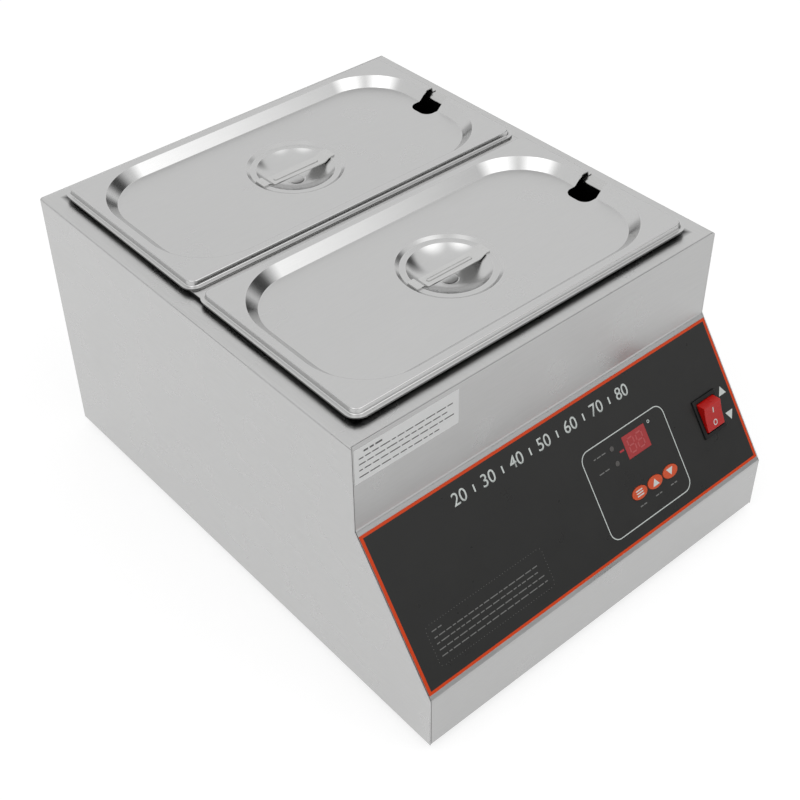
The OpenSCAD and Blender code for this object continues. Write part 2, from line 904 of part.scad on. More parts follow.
module probe_clip() {
    color([0.7, 0.7, 0.66])
    translate([probe_x, probe_y, probe_z])
        rotate([90, 0, 0])
            linear_extrude(clip_w, center = true)
                difference() {
                    union() {
                        circle(probe_r + probe_clear + clip_t);
                        translate([probe_r - clip_t, -probe_r - clip_t - clip_foot])
                            square([clip_t, 2 * (probe_r + clip_t + clip_foot)]);
                    }
                    circle(probe_r + probe_clear);
                    translate([probe_r, -case_h / 2])
                        square([case_h, case_h]);
                }
}

// Wall and bottom of a pan as a section outwards from the middle rectangle of its corners
pan_path = rounded([
    [pan_mouth_r - pan_lean - pan_mouth_r / 2, pan_t - pan_depth],
    [pan_mouth_r - pan_lean, pan_t - pan_depth],
    [pan_mouth_r, 0]
], pan_bottom_r);

module pan(y) {
    core_x = mouth_x - 2 * pan_mouth_r;
    core_y = mouth_y - 2 * pan_mouth_r;
    inner_r = pan_path[0][0];
    color([0.78, 0.78, 0.78])
    translate([0, y, z_rim]) {
        sweep_round(core_x, core_y)
            folded_sheet(pan_path, -pan_t);
        translate([0, 0, -pan_depth])
            linear_extrude(pan_t)
                round_rect(core_x + 2 * inner_r, core_y + 2 * inner_r, inner_r);
        translate([0, 0, -pan_t])
            linear_extrude(pan_t)
                difference() {
                    round_rect(pan_len, pan_wid, pan_rim_r);
                    mouth_outline(0);
                }
    }
}

// Lip and step of a lid as a section outwards from the middle rectangle of its corners
lip_in = lid_corner_r - lid_lip;
lip_path = rounded([
    [lip_in - lid_step_lean - 2 * lid_bend_r, lid_rise],
    [lip_in - lid_step_lean, lid_rise],
    [lip_in, lid_t],
    [lid_corner_r, lid_t]
], lid_bend_r);
flat_in = lid_corner_r - lip_path[0][0];

// Wall of the sunk panel as a section outwards from the middle rectangle of its corners
floor_z = lid_rise - lid_panel_depth;
wall_path = rounded([
    [lid_panel_r - lid_panel_lean - 2 * lid_bend_r, floor_z],
    [lid_panel_r - lid_panel_lean, floor_z],
    [lid_panel_r, lid_rise],
    [lid_panel_r + 2 * lid_bend_r, lid_rise]
], lid_bend_r);

// Ring, ledge and bowl round the middle of a lid
ledge_z = floor_z - ring_depth;
bowl_r = (pow(bowl_d / 2, 2) + pow(bowl_depth, 2)) / (2 * bowl_depth);
bowl_steps = 10;
bowl_path = [
    for (k = [0:bowl_steps])
        let (x = bowl_flat_d / 2 + (bowl_d - bowl_flat_d) / 2 * k / bowl_steps)
        [x, ledge_z - bowl_depth + bowl_r - sqrt(bowl_r * bowl_r - x * x)]
];
ring_path = concat(
    [[0, bowl_path[0][1]]],
    bowl_path,
    [[ring_d / 2 - ring_lean, ledge_z], [ring_d / 2, floor_z]]
);

module notch_cut() {
    translate([pan_len / 2 - notch_len, 0, -lid_panel_depth])
        linear_extrude(2 * lid_panel_depth + lid_rise)
            translate([pan_len / 2, 0])
                round_rect(pan_len, notch_wid, notch_r);
}

module lid(y) {
    core_x = pan_len - 2 * lid_corner_r;
    core_y = pan_wid - 2 * lid_corner_r;
    panel_x = pan_len - 2 * lid_border - 2 * lid_panel_r;
    panel_y = pan_wid - 2 * lid_border - 2 * lid_panel_r;
    outer_r = wall_path[len(wall_path) - 1][0];
    inner_r = wall_path[0][0];
    color([0.8, 0.8, 0.8])
    translate([0, y, z_rim])
    difference() {
        union() {
            sweep_round(core_x, core_y)
                folded_sheet(lip_path, -lid_t);
            translate([0, 0, lid_rise - lid_t])
                linear_extrude(lid_t)
                    difference() {
                        round_rect(pan_len - 2 * flat_in, pan_wid - 2 * flat_in, lip_path[0][0]);
                        round_rect(panel_x + 2 * outer_r, panel_y + 2 * outer_r, outer_r);
                    }
            sweep_round(panel_x, panel_y)
                folded_sheet(wall_path, -lid_t);
            translate([0, 0, floor_z - lid_t])
                linear_extrude(lid_t)
                    difference() {
                        round_rect(panel_x + 2 * inner_r, panel_y + 2 * inner_r, inner_r);
                        circle(ring_d / 2);
                    }
            rotate_extrude($fn = 96)
                folded_sheet(ring_path, -lid_t);
        }
        notch_cut();
    }
}

// Strap as a folded strip from its left end to its right end
strap_top = ledge_z + strap_t;
strap_pad = (strap_len - bowl_d) / 2 + strap_reach;
strap_path = [
    [-strap_len / 2, strap_top],
    [-strap_len / 2 + strap_pad, strap_top],
    [-strap_len / 2 + strap_pad + strap_slope, strap_top - strap_drop],
    [strap_len / 2 - strap_pad - strap_slope, strap_top - strap_drop],
    [strap_len / 2 - strap_pad, strap_top],
    [strap_len / 2, strap_top]
];

module lid_handle(y) {
    color([0.82, 0.82, 0.82])
    translate([0, y, z_rim])
        rotate([90, 0, 0])
            linear_extrude(strap_wid, center = true)
                folded_sheet(strap_path, -strap_t);
}

module display_window() {
    color([0.7, 0.15, 0.15])
    on_slope()
        translate([display_x, display_up, (overlay_t - sheet) / 2])
            cube([display_w - 2 * lens_gap, display_h - 2 * lens_gap, overlay_t + sheet], center = true);
}

module display_module() {
    h = board_gap - module_gap;
    color([0.25, 0.08, 0.08])
    on_slope()
        translate([display_x, display_up, -sheet - board_gap + h / 2])
            cube([display_w - 2 * lens_gap, display_h - 2 * lens_gap, h], center = true);
}

module board_corners() {
    for (x = [board_left + board_hole_in, board_right - board_hole_in])
        for (y = [board_low + board_hole_in, board_high - board_hole_in])
            translate([x, y, 0])
                children();
}

module control_board() {
    color([0.1, 0.35, 0.2])
    on_slope()
    difference() {
        translate([board_left, board_low, -sheet - board_gap - board_t])
            cube([board_right - board_left, board_high - board_low, board_t]);
        board_corners()
            translate([0, 0, -sheet - board_gap - board_t - over])
                cylinder(r = spacer_tip_r + nut_clear, h = board_t + 2 * over);
    }
}

module control_spacers() {
    color([0.75, 0.72, 0.6])
    on_slope()
    board_corners() {
        translate([0, 0, -sheet - board_gap])
            cylinder(r = spacer_r, h = board_gap);
        translate([0, 0, -sheet - board_gap - board_t - spacer_tip])
            cylinder(r = spacer_tip_r, h = board_t + spacer_tip);
        translate([0, 0, -sheet - board_gap - board_t - spacer_tip + nut_clear])
            ring_nut(spacer_r, spacer_tip_r + nut_clear, spacer_tip - nut_clear);
    }
}

// Oval key cap with a rim behind the panel and a plunger down to its switch
module key_cap(k) {
    reach = board_gap - tact_h - key_rim_t + tact_well - 2 * key_travel;
    color([0.85, 0.32, 0.12])
    on_slope()
    translate([keys_x + k * key_pitch, key_up, 0]) {
        translate([0, 0, -sheet - nut_clear])
            linear_extrude(sheet + nut_clear + overlay_t + key_proud)
                polygon(oval(key_a, key_b));
        translate([0, 0, -sheet - nut_clear - key_rim_t])
            linear_extrude(key_rim_t)
                square([key_pitch - key_rim / 2, 2 * (key_b + key_rim)], center = true);
        translate([0, 0, -sheet - nut_clear - key_rim_t - reach])
            cylinder(r = plunger_r, h = reach + key_rim_t / 2);
    }
}

module tact_switches() {
    color([0.2, 0.2, 0.22])
    on_slope()
    for (k = [-1, 0, 1])
        translate([keys_x + k * key_pitch, key_up, -sheet - board_gap])
            difference() {
                translate([0, 0, tact_h / 2])
                    cube([tact_w, tact_w, tact_h], center = true);
                translate([0, 0, tact_h - tact_well])
                    cylinder(r = plunger_r + plunger_clear, h = tact_well + over);
            }
}

module indicator_lamps() {
    color([0.5, 0.48, 0.46])
    on_slope()
    for (k = [-1, 1])
        translate([display_x - lamp_side, display_up + k * lamp_over, -sheet - board_gap])
            cylinder(r = lamp_r, h = board_gap + sheet + overlay_t + lamp_proud);
}

module on_switch() {
    on_slope()
        translate([switch_x, switch_up, overlay_t])
            children();
}

module switch_housing() {
    well_w = rocker_w + 2 * rocker_gap;
    well_h = 2 * (rocker_r + rocker_gap);
    floor_in = pivot_in + rocker_r + rocker_gap;
    color([0.07, 0.07, 0.07])
    on_switch()
    difference() {
        union() {
            translate([0, 0, -switch_depth / 2])
                cube([housing_w, housing_h, switch_depth], center = true);
            rotate([90, 0, 0])
                linear_extrude(bezel_h, center = true)
                    polygon([
                        [-bezel_w / 2, 0], [bezel_w / 2, 0],
                        [bezel_w / 2, bezel_t - bezel_chamfer], [bezel_w / 2 - bezel_chamfer, bezel_t],
                        [-bezel_w / 2 + bezel_chamfer, bezel_t], [-bezel_w / 2, bezel_t - bezel_chamfer]
                    ]);
        }
        translate([-well_w / 2, -well_h / 2, -floor_in])
            cube([well_w, well_h, floor_in + bezel_t + over]);
        // Sockets for the rocker's pins
        translate([0, 0, -pivot_in])
            rotate([0, 90, 0])
                cylinder(r = pin_r + pin_clear, h = well_w + 2 * pin_len, center = true);
    }
}

module switch_rocker() {
    crest = crest_share * rocker_r;
    high = crest_high_share * rocker_r;
    color([0.8, 0.1, 0.08])
    on_switch()
    translate([0, 0, -pivot_in])
    rotate([rocker_tilt, 0, 0]) {
        along_x(rocker_w)
            intersection() {
                circle(rocker_r);
                polygon([
                    [-crest, high], [0, dish_share * rocker_r], [crest, high],
                    [rocker_r, 0], [skirt_share * rocker_r, -skirt_low_share * rocker_r],
                    [-skirt_share * rocker_r, -skirt_low_share * rocker_r], [-rocker_r, 0]
                ]);
            }
        rotate([0, 90, 0])
            cylinder(r = pin_r, h = rocker_w + 2 * (rocker_gap + pin_len - pin_clear), center = true);
    }
}

module switch_terminals() {
    color([0.8, 0.78, 0.7])
    on_switch()
    for (sx = [-1, 1], sy = [-1, 1])
        translate([sx * blade_side_share * housing_w, sy * blade_up_share * housing_h, -switch_depth - blade_len / 2])
            cube([blade_t, blade_w, blade_len], center = true);
}

module power_corners() {
    for (sx = [-1, 1], sy = [-1, 1])
        translate([power_at[0] + sx * (power_x / 2 - pillar_in), power_at[1] + sy * (power_y / 2 - pillar_in), 0])
            children();
}

z_board = z_inside + pillar_h;

module power_board() {
    color([0.1, 0.35, 0.2])
    difference() {
        translate([power_at[0] - power_x / 2, power_at[1] - power_y / 2, z_board])
            cube([power_x, power_y, board_t]);
        power_corners()
            translate([0, 0, z_board - over])
                cylinder(r = spacer_tip_r + nut_clear, h = board_t + 2 * over);
    }
}

module board_pillars() {
    color([0.85, 0.84, 0.8])
    power_corners() {
        translate([0, 0, z_inside])
            cylinder(r = pillar_r, h = pillar_h);
        translate([0, 0, z_board])
            cylinder(r = spacer_tip_r, h = board_t + spacer_tip);
        translate([0, 0, z_board + board_t])
            ring_nut(pillar_r, spacer_tip_r + nut_clear, spacer_tip - nut_clear);
    }
}

module relay() {
    color([0.1, 0.25, 0.55])
    translate([power_at[0] + power_x / 4 - relay_size[0] / 2, power_at[1] - relay_size[1] / 2, z_board + board_t])
        cube(relay_size);
}

module transformer() {
    color([0.85, 0.7, 0.2])
    translate([power_at[0] - power_x / 4, power_at[1], z_board + board_t]) {
        translate([0, 0, coil_size[2] / 2])
            cube([coil_size[0] - 2 * coil_core_t, coil_size[1], coil_size[2]], center = true);
        for (s = [-1, 1])
            translate([s * (coil_size[0] - coil_core_t) / 2, 0, coil_size[2] / 2])
                cube([coil_core_t, coil_size[1] - coil_core_t, coil_size[2]], center = true);
    }
}

block_at = [gland_x, y_back - block_back];
block_pitch = block_size[0] / block_ways;
way_x = [for (k = [0:block_ways - 1]) block_at[0] + (k - (block_ways - 1) / 2) * block_pitch];

module terminal_block() {
    color([0.9, 0.89, 0.84])
    difference() {
        translate([block_at[0], block_at[1], z_inside + block_size[2] / 2])
            cube(block_size, center = true);
        for (x = way_x)
            translate([x, block_at[1], z_inside + block_size[2]])
                cylinder(r = block_slot / 2, h = block_size[2], center = true);
    }
}

earth_at = [gland_x + stud_at_side, y_back - block_back / 2];

module earth_stud() {
    color([0.82, 0.68, 0.32])
    translate([earth_at[0], earth_at[1], z_inside]) {
        cylinder(r = earth_r, h = earth_h);
        difference() {
            cylinder(r = earth_washer_r, h = earth_washer_t);
            translate([0, 0, -over])
                cylinder(r = earth_r + earth_clear, h = earth_washer_t + 2 * over);
        }
        translate([0, 0, earth_washer_t])
            ring_nut(earth_nut_r, earth_r + earth_clear, earth_nut_h);
    }
}

// Gland axis: z runs out of the back panel
module on_gland() {
    translate([gland_x, y_back, gland_z])
        rotate([-90, 0, 0])
            children();
}

module cable_gland() {
    bore = cable_r + seal_wall + seal_clear;
    color([0.1, 0.1, 0.1])
    on_gland()
    difference() {
        union() {
            translate([0, 0, -gland_thread_in])
                cylinder(r = gland_r, h = gland_thread_in + gland_thread_out);
            cylinder(r = gland_collar_r, h = gland_collar_t, $fn = 6);
        }
        translate([0, 0, -gland_thread_in - over])
            cylinder(r = bore, h = gland_thread_in + gland_thread_out + 2 * over);
    }
}

module gland_seal() {
    color([0.16, 0.16, 0.16])
    on_gland()
    difference() {
        cylinder(r = cable_r + seal_wall, h = gland_thread_out);
        translate([0, 0, -over])
            cylinder(r = cable_r, h = gland_thread_out + 2 * over);
    }
}

module gland_nut() {
    h = gland_out - gland_collar_t - dome_gap;
    inner = gland_thread_out - gland_collar_t;
    color([0.1, 0.1, 0.1])
    on_gland()
    translate([0, 0, gland_collar_t + dome_gap])
    difference() {
        union() {
            cylinder(r = gland_r + dome_wall + dome_gap, h = h / 2);
            translate([0, 0, h / 2])
                cylinder(r1 = gland_r + dome_wall + dome_gap, r2 = gland_r, h = h / 2);
        }
        translate([0, 0, -over])
            cylinder(r = gland_r + dome_gap, h = inner + over);
        cylinder(r = cable_r + dome_mouth_clear, h = h + over);
    }
}

module gland_locknut() {
    color([0.1, 0.1, 0.1])
    on_gland()
    translate([0, 0, -sheet - gland_lock_t])
        ring_nut(gland_lock_r, gland_r + gland_lock_clear, gland_lock_t);
}

module note_sticker() {
    color([0.8, 0.81, 0.81])
    translate([-case_w / 2 + sticker_side, y_fascia - sticker_t, z_deck - sticker_top - sticker_h])
        cube([sticker_w, sticker_t, sticker_h]);
}

// Point behind the control panel: x across, s up the slope, n out of it
function behind_panel(x, s, n) = [
    x,
    y_front + s * cos(slope_angle) - n * sin(slope_angle),
    z_lower + s * sin(slope_angle) + n * cos(slope_angle)
];

lead_z = z_inside + lead_r;
gland_in = [gland_x, y_back - gland_thread_in, gland_z];
block_top = z_inside + block_size[2];

// Three mains conductors from the gland to the terminal block and the earth stud
module mains_leads() {
    color([0.4, 0.25, 0.15])
    for (k = [-1, 0])
        wire([
            gland_in + [k * 2.5 * lead_r, 0, 0],
            gland_in + [k * lead_gap, -block_back / 4, 0],
            [way_x[k + 1], block_at[1] + block_size[1] / 2 + lead_gap, block_top],
            [way_x[k + 1], block_at[1] + block_size[1] / 2 - lead_r, block_top + lead_r + lead_seat]
        ], lead_r);
    color([0.3, 0.55, 0.2])
    wire([
        gland_in + [2.5 * lead_r, 0, 0],
        gland_in + [lead_gap, -2 * lead_gap, 0],
        [(gland_x + earth_at[0]) / 2, earth_at[1], gland_z],
        [earth_at[0], earth_at[1], z_inside + earth_h + lead_drop],
        [earth_at[0], earth_at[1], z_inside + earth_h + lead_seat]
    ], lead_r);
}

// Two leads from the power board up to each thermal cut-out
module heater_leads() {
    color([0.75, 0.15, 0.1])
    for (i = [0, 1], s = [-1, 1]) {
        x = power_at[0] + power_x / 2 - (2 + i) * lead_gap;
        y = power_at[1] + (i - 0.5) * power_y / 2 + s * lead_gap;
        tab_x = cutout_share * well_out_x + s * cutout_r / 2;
        wire([
            [x, y, z_board + board_t + lead_seat],
            [x, y, z_board + coil_size[2]],
            [tab_x, y_pan[i], z_slab_under - cutout_tab - lead_drop],
            [tab_x, y_pan[i], z_slab_under - cutout_tab + mat_t - tray_t - lead_seat]
        ], lead_r);
    }
}

// Two leads from the terminal block forward to the switch
module switch_leads() {
    color([0.4, 0.25, 0.15])
    for (s = [-1, 1]) {
        x = block_at[0] + s * block_pitch / 2;
        y = block_at[1] - block_size[1] / 2;
        wire([
            [x, y + lead_r, block_top + lead_r + lead_seat],
            [x, y - lead_gap, block_top],
            [x, y - block_size[1], lead_z + lead_gap],
            [switch_x + s * blade_side_share * housing_w, y_fascia, lead_z + lead_gap],
            behind_panel(
                switch_x + s * blade_side_share * housing_w,
                switch_up - blade_up_share * housing_h,
                overlay_t - switch_depth - blade_len - lead_drop
            ),
            behind_panel(
                switch_x + s * blade_side_share * housing_w,
                switch_up - blade_up_share * housing_h,
                overlay_t - switch_depth - blade_len - lead_seat
            )
        ], lead_r);
    }
}

// Flat cable from the power board to the back of the control board
module control_ribbon() {
    x = power_at[0];
    foot = [power_at[1] - power_y / 2 + lead_gap, z_board + board_t];
    head = behind_panel(0, board_low + board_margin, -sheet - board_gap - board_t);
    middle_x = (board_left + board_right) / 2;
    color([0.55, 0.56, 0.58])
    union() {
        translate([x, 0, 0])
            along_x(ribbon_w)
                folded_sheet([
                    foot, foot + [0, lead_drop], [y_fascia + lead_drop, foot[1] + lead_drop],
                    [y_fascia + lead_drop - ribbon_w, foot[1] + lead_drop]
                ], -ribbon_t);
        translate([x - ribbon_w / 2, y_fascia + lead_drop - ribbon_w, foot[1] + lead_drop])
            cube([middle_x - x + ribbon_w, ribbon_w, ribbon_t]);
        translate([middle_x, 0, 0])
            along_x(ribbon_w)
                folded_sheet([
                    [y_fascia + lead_drop - ribbon_w / 2, foot[1] + lead_drop],
                    [y_fascia - ribbon_w, foot[1] + lead_drop],
                    [head[1], head[2]] + lead_drop / 2 * [sin(slope_angle), -cos(slope_angle)],
                    [head[1], head[2]]
                ], -ribbon_t);
    }
}

outer_shell();
front_panel();
back_panel();
bottom_plate();
foot(-1, foot_y[0]);  // foot_front_left
foot(1, foot_y[0]);  // foot_front_right
foot(-1, foot_y[1]);  // foot_rear_left
foot(1, foot_y[1]);  // foot_rear_right
foot_screws();
base_screws();
back_screws();
well(y_pan[0]);  // well_front
well(y_pan[1]);  // well_rear
well_nuts();
heater_mat(y_pan[0]);  // heater_mat_front
heater_mat(y_pan[1]);  // heater_mat_rear
insulation(y_pan[0]);  // insulation_front
insulation(y_pan[1]);  // insulation_rear
insulation_tray(y_pan[0]);  // insulation_tray_front
insulation_tray(y_pan[1]);  // insulation_tray_rear
tray_bolts();
thermal_cutouts();
temperature_probe();
probe_clip();
pan(y_pan[0]);  // pan_front
pan(y_pan[1]);  // pan_rear
lid(y_pan[0]);  // lid_front
lid(y_pan[1]);  // lid_rear
lid_handle(y_pan[0]);  // lid_handle_front
lid_handle(y_pan[1]);  // lid_handle_rear
panel_overlay();
display_window();
display_module();
control_board();
control_spacers();
key_cap(-1);  // set_key
key_cap(0);  // up_key
key_cap(1);  // down_key
tact_switches();
indicator_lamps();
switch_housing();
switch_rocker();
switch_terminals();
power_board();
board_pillars();
relay();
transformer();
terminal_block();
earth_stud();
cable_gland();
gland_seal();
gland_nut();
gland_locknut();
note_sticker();
mains_leads();
heater_leads();
switch_leads();
control_ribbon();
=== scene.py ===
import json
import math
import random

import bmesh
import bpy
from mathutils import Matrix, Vector


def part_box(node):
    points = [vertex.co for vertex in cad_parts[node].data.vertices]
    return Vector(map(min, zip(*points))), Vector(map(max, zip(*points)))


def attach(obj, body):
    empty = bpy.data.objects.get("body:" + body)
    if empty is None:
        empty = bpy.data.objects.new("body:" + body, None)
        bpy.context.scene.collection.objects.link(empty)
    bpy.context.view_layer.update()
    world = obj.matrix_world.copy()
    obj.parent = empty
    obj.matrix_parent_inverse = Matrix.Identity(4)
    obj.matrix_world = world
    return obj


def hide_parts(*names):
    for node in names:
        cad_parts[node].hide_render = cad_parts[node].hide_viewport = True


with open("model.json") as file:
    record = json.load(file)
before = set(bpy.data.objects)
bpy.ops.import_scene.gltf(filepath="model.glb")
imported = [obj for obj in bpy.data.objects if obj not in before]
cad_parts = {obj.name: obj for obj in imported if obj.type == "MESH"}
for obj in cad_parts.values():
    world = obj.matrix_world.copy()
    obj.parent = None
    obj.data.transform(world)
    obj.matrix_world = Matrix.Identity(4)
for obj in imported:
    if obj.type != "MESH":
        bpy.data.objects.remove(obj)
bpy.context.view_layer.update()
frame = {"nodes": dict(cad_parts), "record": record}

# Electric chocolate melting pot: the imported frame, dressed in metal, print and plastic.
# Metres. X runs to the right, the front faces -Y, and the feet stand on z = 0.

mm = 0.001
tiny = 1e-6
dice = random.Random(7)
skyward = Vector((0, 0, 1))
frontward = Vector((0, -1, 0))

caseShape = {
    "overhang": 75 * mm,    # how far the lower front stands out from the fascia
    "fascia": 75 * mm,      # height of the fascia over the slope
    "lower": 48 * mm,       # height of the strip under the slope
    "platform": 3.3 * mm,   # height of the step under the pan rims
    "sheet": 1 * mm,
    "seam": 0.2 * mm,
    "foldWidth": 14 * mm,
    "bendRadius": 1.3 * mm,
}
shellLow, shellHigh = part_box("outer_shell")
caseWidth = shellHigh.x - shellLow.x
leftEdge = -caseWidth / 2
caseFloor = shellLow.z
deckTop = shellHigh.z - caseShape["platform"]
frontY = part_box("front_panel")[0].y
fasciaY = frontY + caseShape["overhang"]
foldZ = deckTop - caseShape["fascia"]
slopeFoot = caseFloor + caseShape["lower"]
slopeAngle = math.atan2(foldZ - slopeFoot, caseShape["overhang"])
# On the slope x runs to the right, y up the slope and z out of it
slopePlace = Matrix.Translation((0, frontY, slopeFoot)) @ Matrix.Rotation(slopeAngle, 4, "X")


# Shader parts

def addNode(tree, kind, **settings):
    # Nodes stand in rows of six, in the order in which they are made
    row, column = divmod(len(tree.nodes), 6)
    node = tree.nodes.new(kind)
    node.location = (220 * column, -300 * row)
    for key, value in settings.items():
        setattr(node, key, value)
    return node


def addMath(tree, operation, first, second=None):
    node = addNode(tree, "ShaderNodeMath", operation=operation)
    for index, value in enumerate((first, second)):
        if isinstance(value, bpy.types.NodeSocket):
            tree.links.new(value, node.inputs[index])
        elif value is not None:
            node.inputs[index].default_value = value
    return node.outputs[0]


def addRange(tree, value, low, high, toLow, toHigh):
    node = addNode(tree, "ShaderNodeMapRange")
    tree.links.new(value, node.inputs["Value"])
    for name, number in (("From Min", low), ("From Max", high), ("To Min", toLow), ("To Max", toHigh)):
        node.inputs[name].default_value = number
    return node.outputs["Result"]


def addSplit(tree, vector):
    split = addNode(tree, "ShaderNodeSeparateXYZ")
    tree.links.new(vector, split.inputs[0])
    return split.outputs


def newGroup(name, inputs, outputs):
    group = bpy.data.node_groups.new(name, "ShaderNodeTree")
    for label, kind, value in inputs:
        made = group.interface.new_socket(name=label, in_out="INPUT", socket_type=kind)
        if value is not None:
            made.default_value = value
    for label in outputs:
        group.interface.new_socket(name=label, in_out="OUTPUT", socket_type="NodeSocketFloat")
    return group, addNode(group, "NodeGroupInput"), addNode(group, "NodeGroupOutput")


def makeBrushedGroup():
    # Fine drawn lines with slow blotches: values for colour and roughness, and a height for the bump
    group, given, out = newGroup(
        "brushedSteelGrain",
        [("Vector", "NodeSocketVector", None), ("Grain Scale", "NodeSocketVector", (50, 900, 900)),
         ("Blotch Size", "NodeSocketFloat", 22.0)],
        ["Grain", "Blotch", "Height"],
    )
    stretch = addNode(group, "ShaderNodeVectorMath", operation="MULTIPLY")
    group.links.new(given.outputs["Vector"], stretch.inputs[0])
    group.links.new(given.outputs["Grain Scale"], stretch.inputs[1])
    lines = addNode(group, "ShaderNodeTexNoise")
    lines.inputs["Scale"].default_value = 1.0
    lines.inputs["Detail"].default_value = 3.0
    lines.inputs["Roughness"].default_value = 0.6
    group.links.new(stretch.outputs[0], lines.inputs["Vector"])
    blotch = addNode(group, "ShaderNodeTexNoise")
    blotch.inputs["Detail"].default_value = 4.0
    group.links.new(given.outputs["Vector"], blotch.inputs["Vector"])
    group.links.new(given.outputs["Blotch Size"], blotch.inputs["Scale"])
    group.links.new(lines.outputs[0], out.inputs["Grain"])
    group.links.new(lines.outputs[0], out.inputs["Height"])
    group.links.new(blotch.outputs[0], out.inputs["Blotch"])
    return group


def makeMouldedGroup():
    # Fine moulded or printed surface: small pits and slow handling marks
    group, given, out = newGroup(
        "mouldedSurface",
        [("Vector", "NodeSocketVector", None), ("Pit Size", "NodeSocketFloat", 900.0),
         ("Mark Size", "NodeSocketFloat", 35.0)],
        ["Marks", "Height"],
    )
    pits = addNode(group, "ShaderNodeTexNoise")
    pits.inputs["Detail"].default_value = 2.0
    marks = addNode(group, "ShaderNodeTexNoise")
    marks.inputs["Detail"].default_value = 5.0
    marks.inputs["Roughness"].default_value = 0.62
    for texture, size in ((pits, "Pit Size"), (marks, "Mark Size")):
        group.links.new(given.outputs["Vector"], texture.inputs["Vector"])
        group.links.new(given.outputs[size], texture.inputs["Scale"])
    group.links.new(marks.outputs[0], out.inputs["Marks"])
    group.links.new(pits.outputs[0], out.inputs["Height"])
    return group


brushedGroup = makeBrushedGroup()
mouldedGroup = makeMouldedGroup()


def bareMaterial(name):
    material = bpy.data.materials.new(name)
    material.use_nodes = True
    tree = material.node_tree
    tree.nodes.clear()
    return material, tree, addNode(tree, "ShaderNodeOutputMaterial").inputs["Surface"]


def newMaterial(name):
    material, tree, surface = bareMaterial(name)
    shader = addNode(tree, "ShaderNodeBsdfPrincipled")
    tree.links.new(shader.outputs[0], surface)
    return material, tree, shader, addNode(tree, "ShaderNodeTexCoord")


def mixColours(tree, factor, first, second):
    node = addNode(tree, "ShaderNodeMix", data_type="RGBA")
    tree.links.new(factor, node.inputs["Factor"])
    for name, value in (("A", first), ("B", second)):
        target = next(s for s in node.inputs if s.name == name and s.type == "RGBA")
        if isinstance(value, bpy.types.NodeSocket):
            tree.links.new(value, target)
        else:
            target.default_value = (*value, 1)
    return next(s for s in node.outputs if s.type == "RGBA")


def darkAndPale(colour, amount):
    return [c * (1 - amount) for c in colour], [min(1, c * (1 + amount)) for c in colour]


def addBump(tree, shader, height, strength, distance):
    bump = addNode(tree, "ShaderNodeBump")
    bump.inputs["Strength"].default_value = strength
    bump.inputs["Distance"].default_value = distance
    tree.links.new(height, bump.inputs["Height"])
    tree.links.new(bump.outputs[0], shader.inputs["Normal"])


def brushedMetal(name, colour, roughness, grainScale, polish=None, depth=0.05, contrast=0.05):
    # polish is the roughness of the pressed walls and bowls, where the surface isn't level
    material, tree, shader, coords = newMaterial(name)
    grain = addNode(tree, "ShaderNodeGroup", node_tree=brushedGroup)
    grain.inputs["Grain Scale"].default_value = grainScale
    tree.links.new(coords.outputs["Object"], grain.inputs["Vector"])
    tone = addMath(tree, "MULTIPLY_ADD", grain.outputs["Grain"], 0.6)
    tone.node.inputs[2].default_value = 0.2
    tone = addMath(tree, "ADD", tone, addMath(tree, "MULTIPLY", grain.outputs["Blotch"], 0.4))
    shade = addRange(tree, tone, 0.45, 0.95, 0.0, 1.0)
    tree.links.new(mixColours(tree, shade, *darkAndPale(colour, contrast)), shader.inputs["Base Color"])
    rough = addRange(tree, grain.outputs["Blotch"], 0.3, 0.7, roughness - 0.04, roughness + 0.05)
    if polish is not None:
        level = addMath(tree, "ABSOLUTE", addSplit(tree, coords.outputs["Normal"])[2])
        blend = addNode(tree, "ShaderNodeMix", data_type="FLOAT")
        tree.links.new(addRange(tree, level, 0.975, 0.999, 0.0, 1.0), blend.inputs[0])
        blend.inputs[2].default_value = polish
        tree.links.new(rough, blend.inputs[3])
        rough = blend.outputs[0]
    tree.links.new(rough, shader.inputs["Roughness"])
    shader.inputs["Metallic"].default_value = 1.0
    addBump(tree, shader, grain.outputs["Height"], depth, 0.0001)
    return material


def mouldedPlastic(name, colour, roughness, pitSize=900.0, depth=0.06, variation=0.12, gloss=0.5):
    material, tree, shader, coords = newMaterial(name)
    skin = addNode(tree, "ShaderNodeGroup", node_tree=mouldedGroup)
    skin.inputs["Pit Size"].default_value = pitSize
    tree.links.new(coords.outputs["Object"], skin.inputs["Vector"])
    marks = skin.outputs["Marks"]
    shade = addRange(tree, marks, 0.3, 0.7, 0.0, 1.0)
    tree.links.new(mixColours(tree, shade, *darkAndPale(colour, variation)), shader.inputs["Base Color"])
    rough = addRange(tree, marks, 0.3, 0.7, max(0.03, roughness - 0.05), roughness + 0.06)
    tree.links.new(rough, shader.inputs["Roughness"])
    shader.inputs["Specular IOR Level"].default_value = gloss
    addBump(tree, shader, skin.outputs["Height"], depth, 0.00008)
    return material


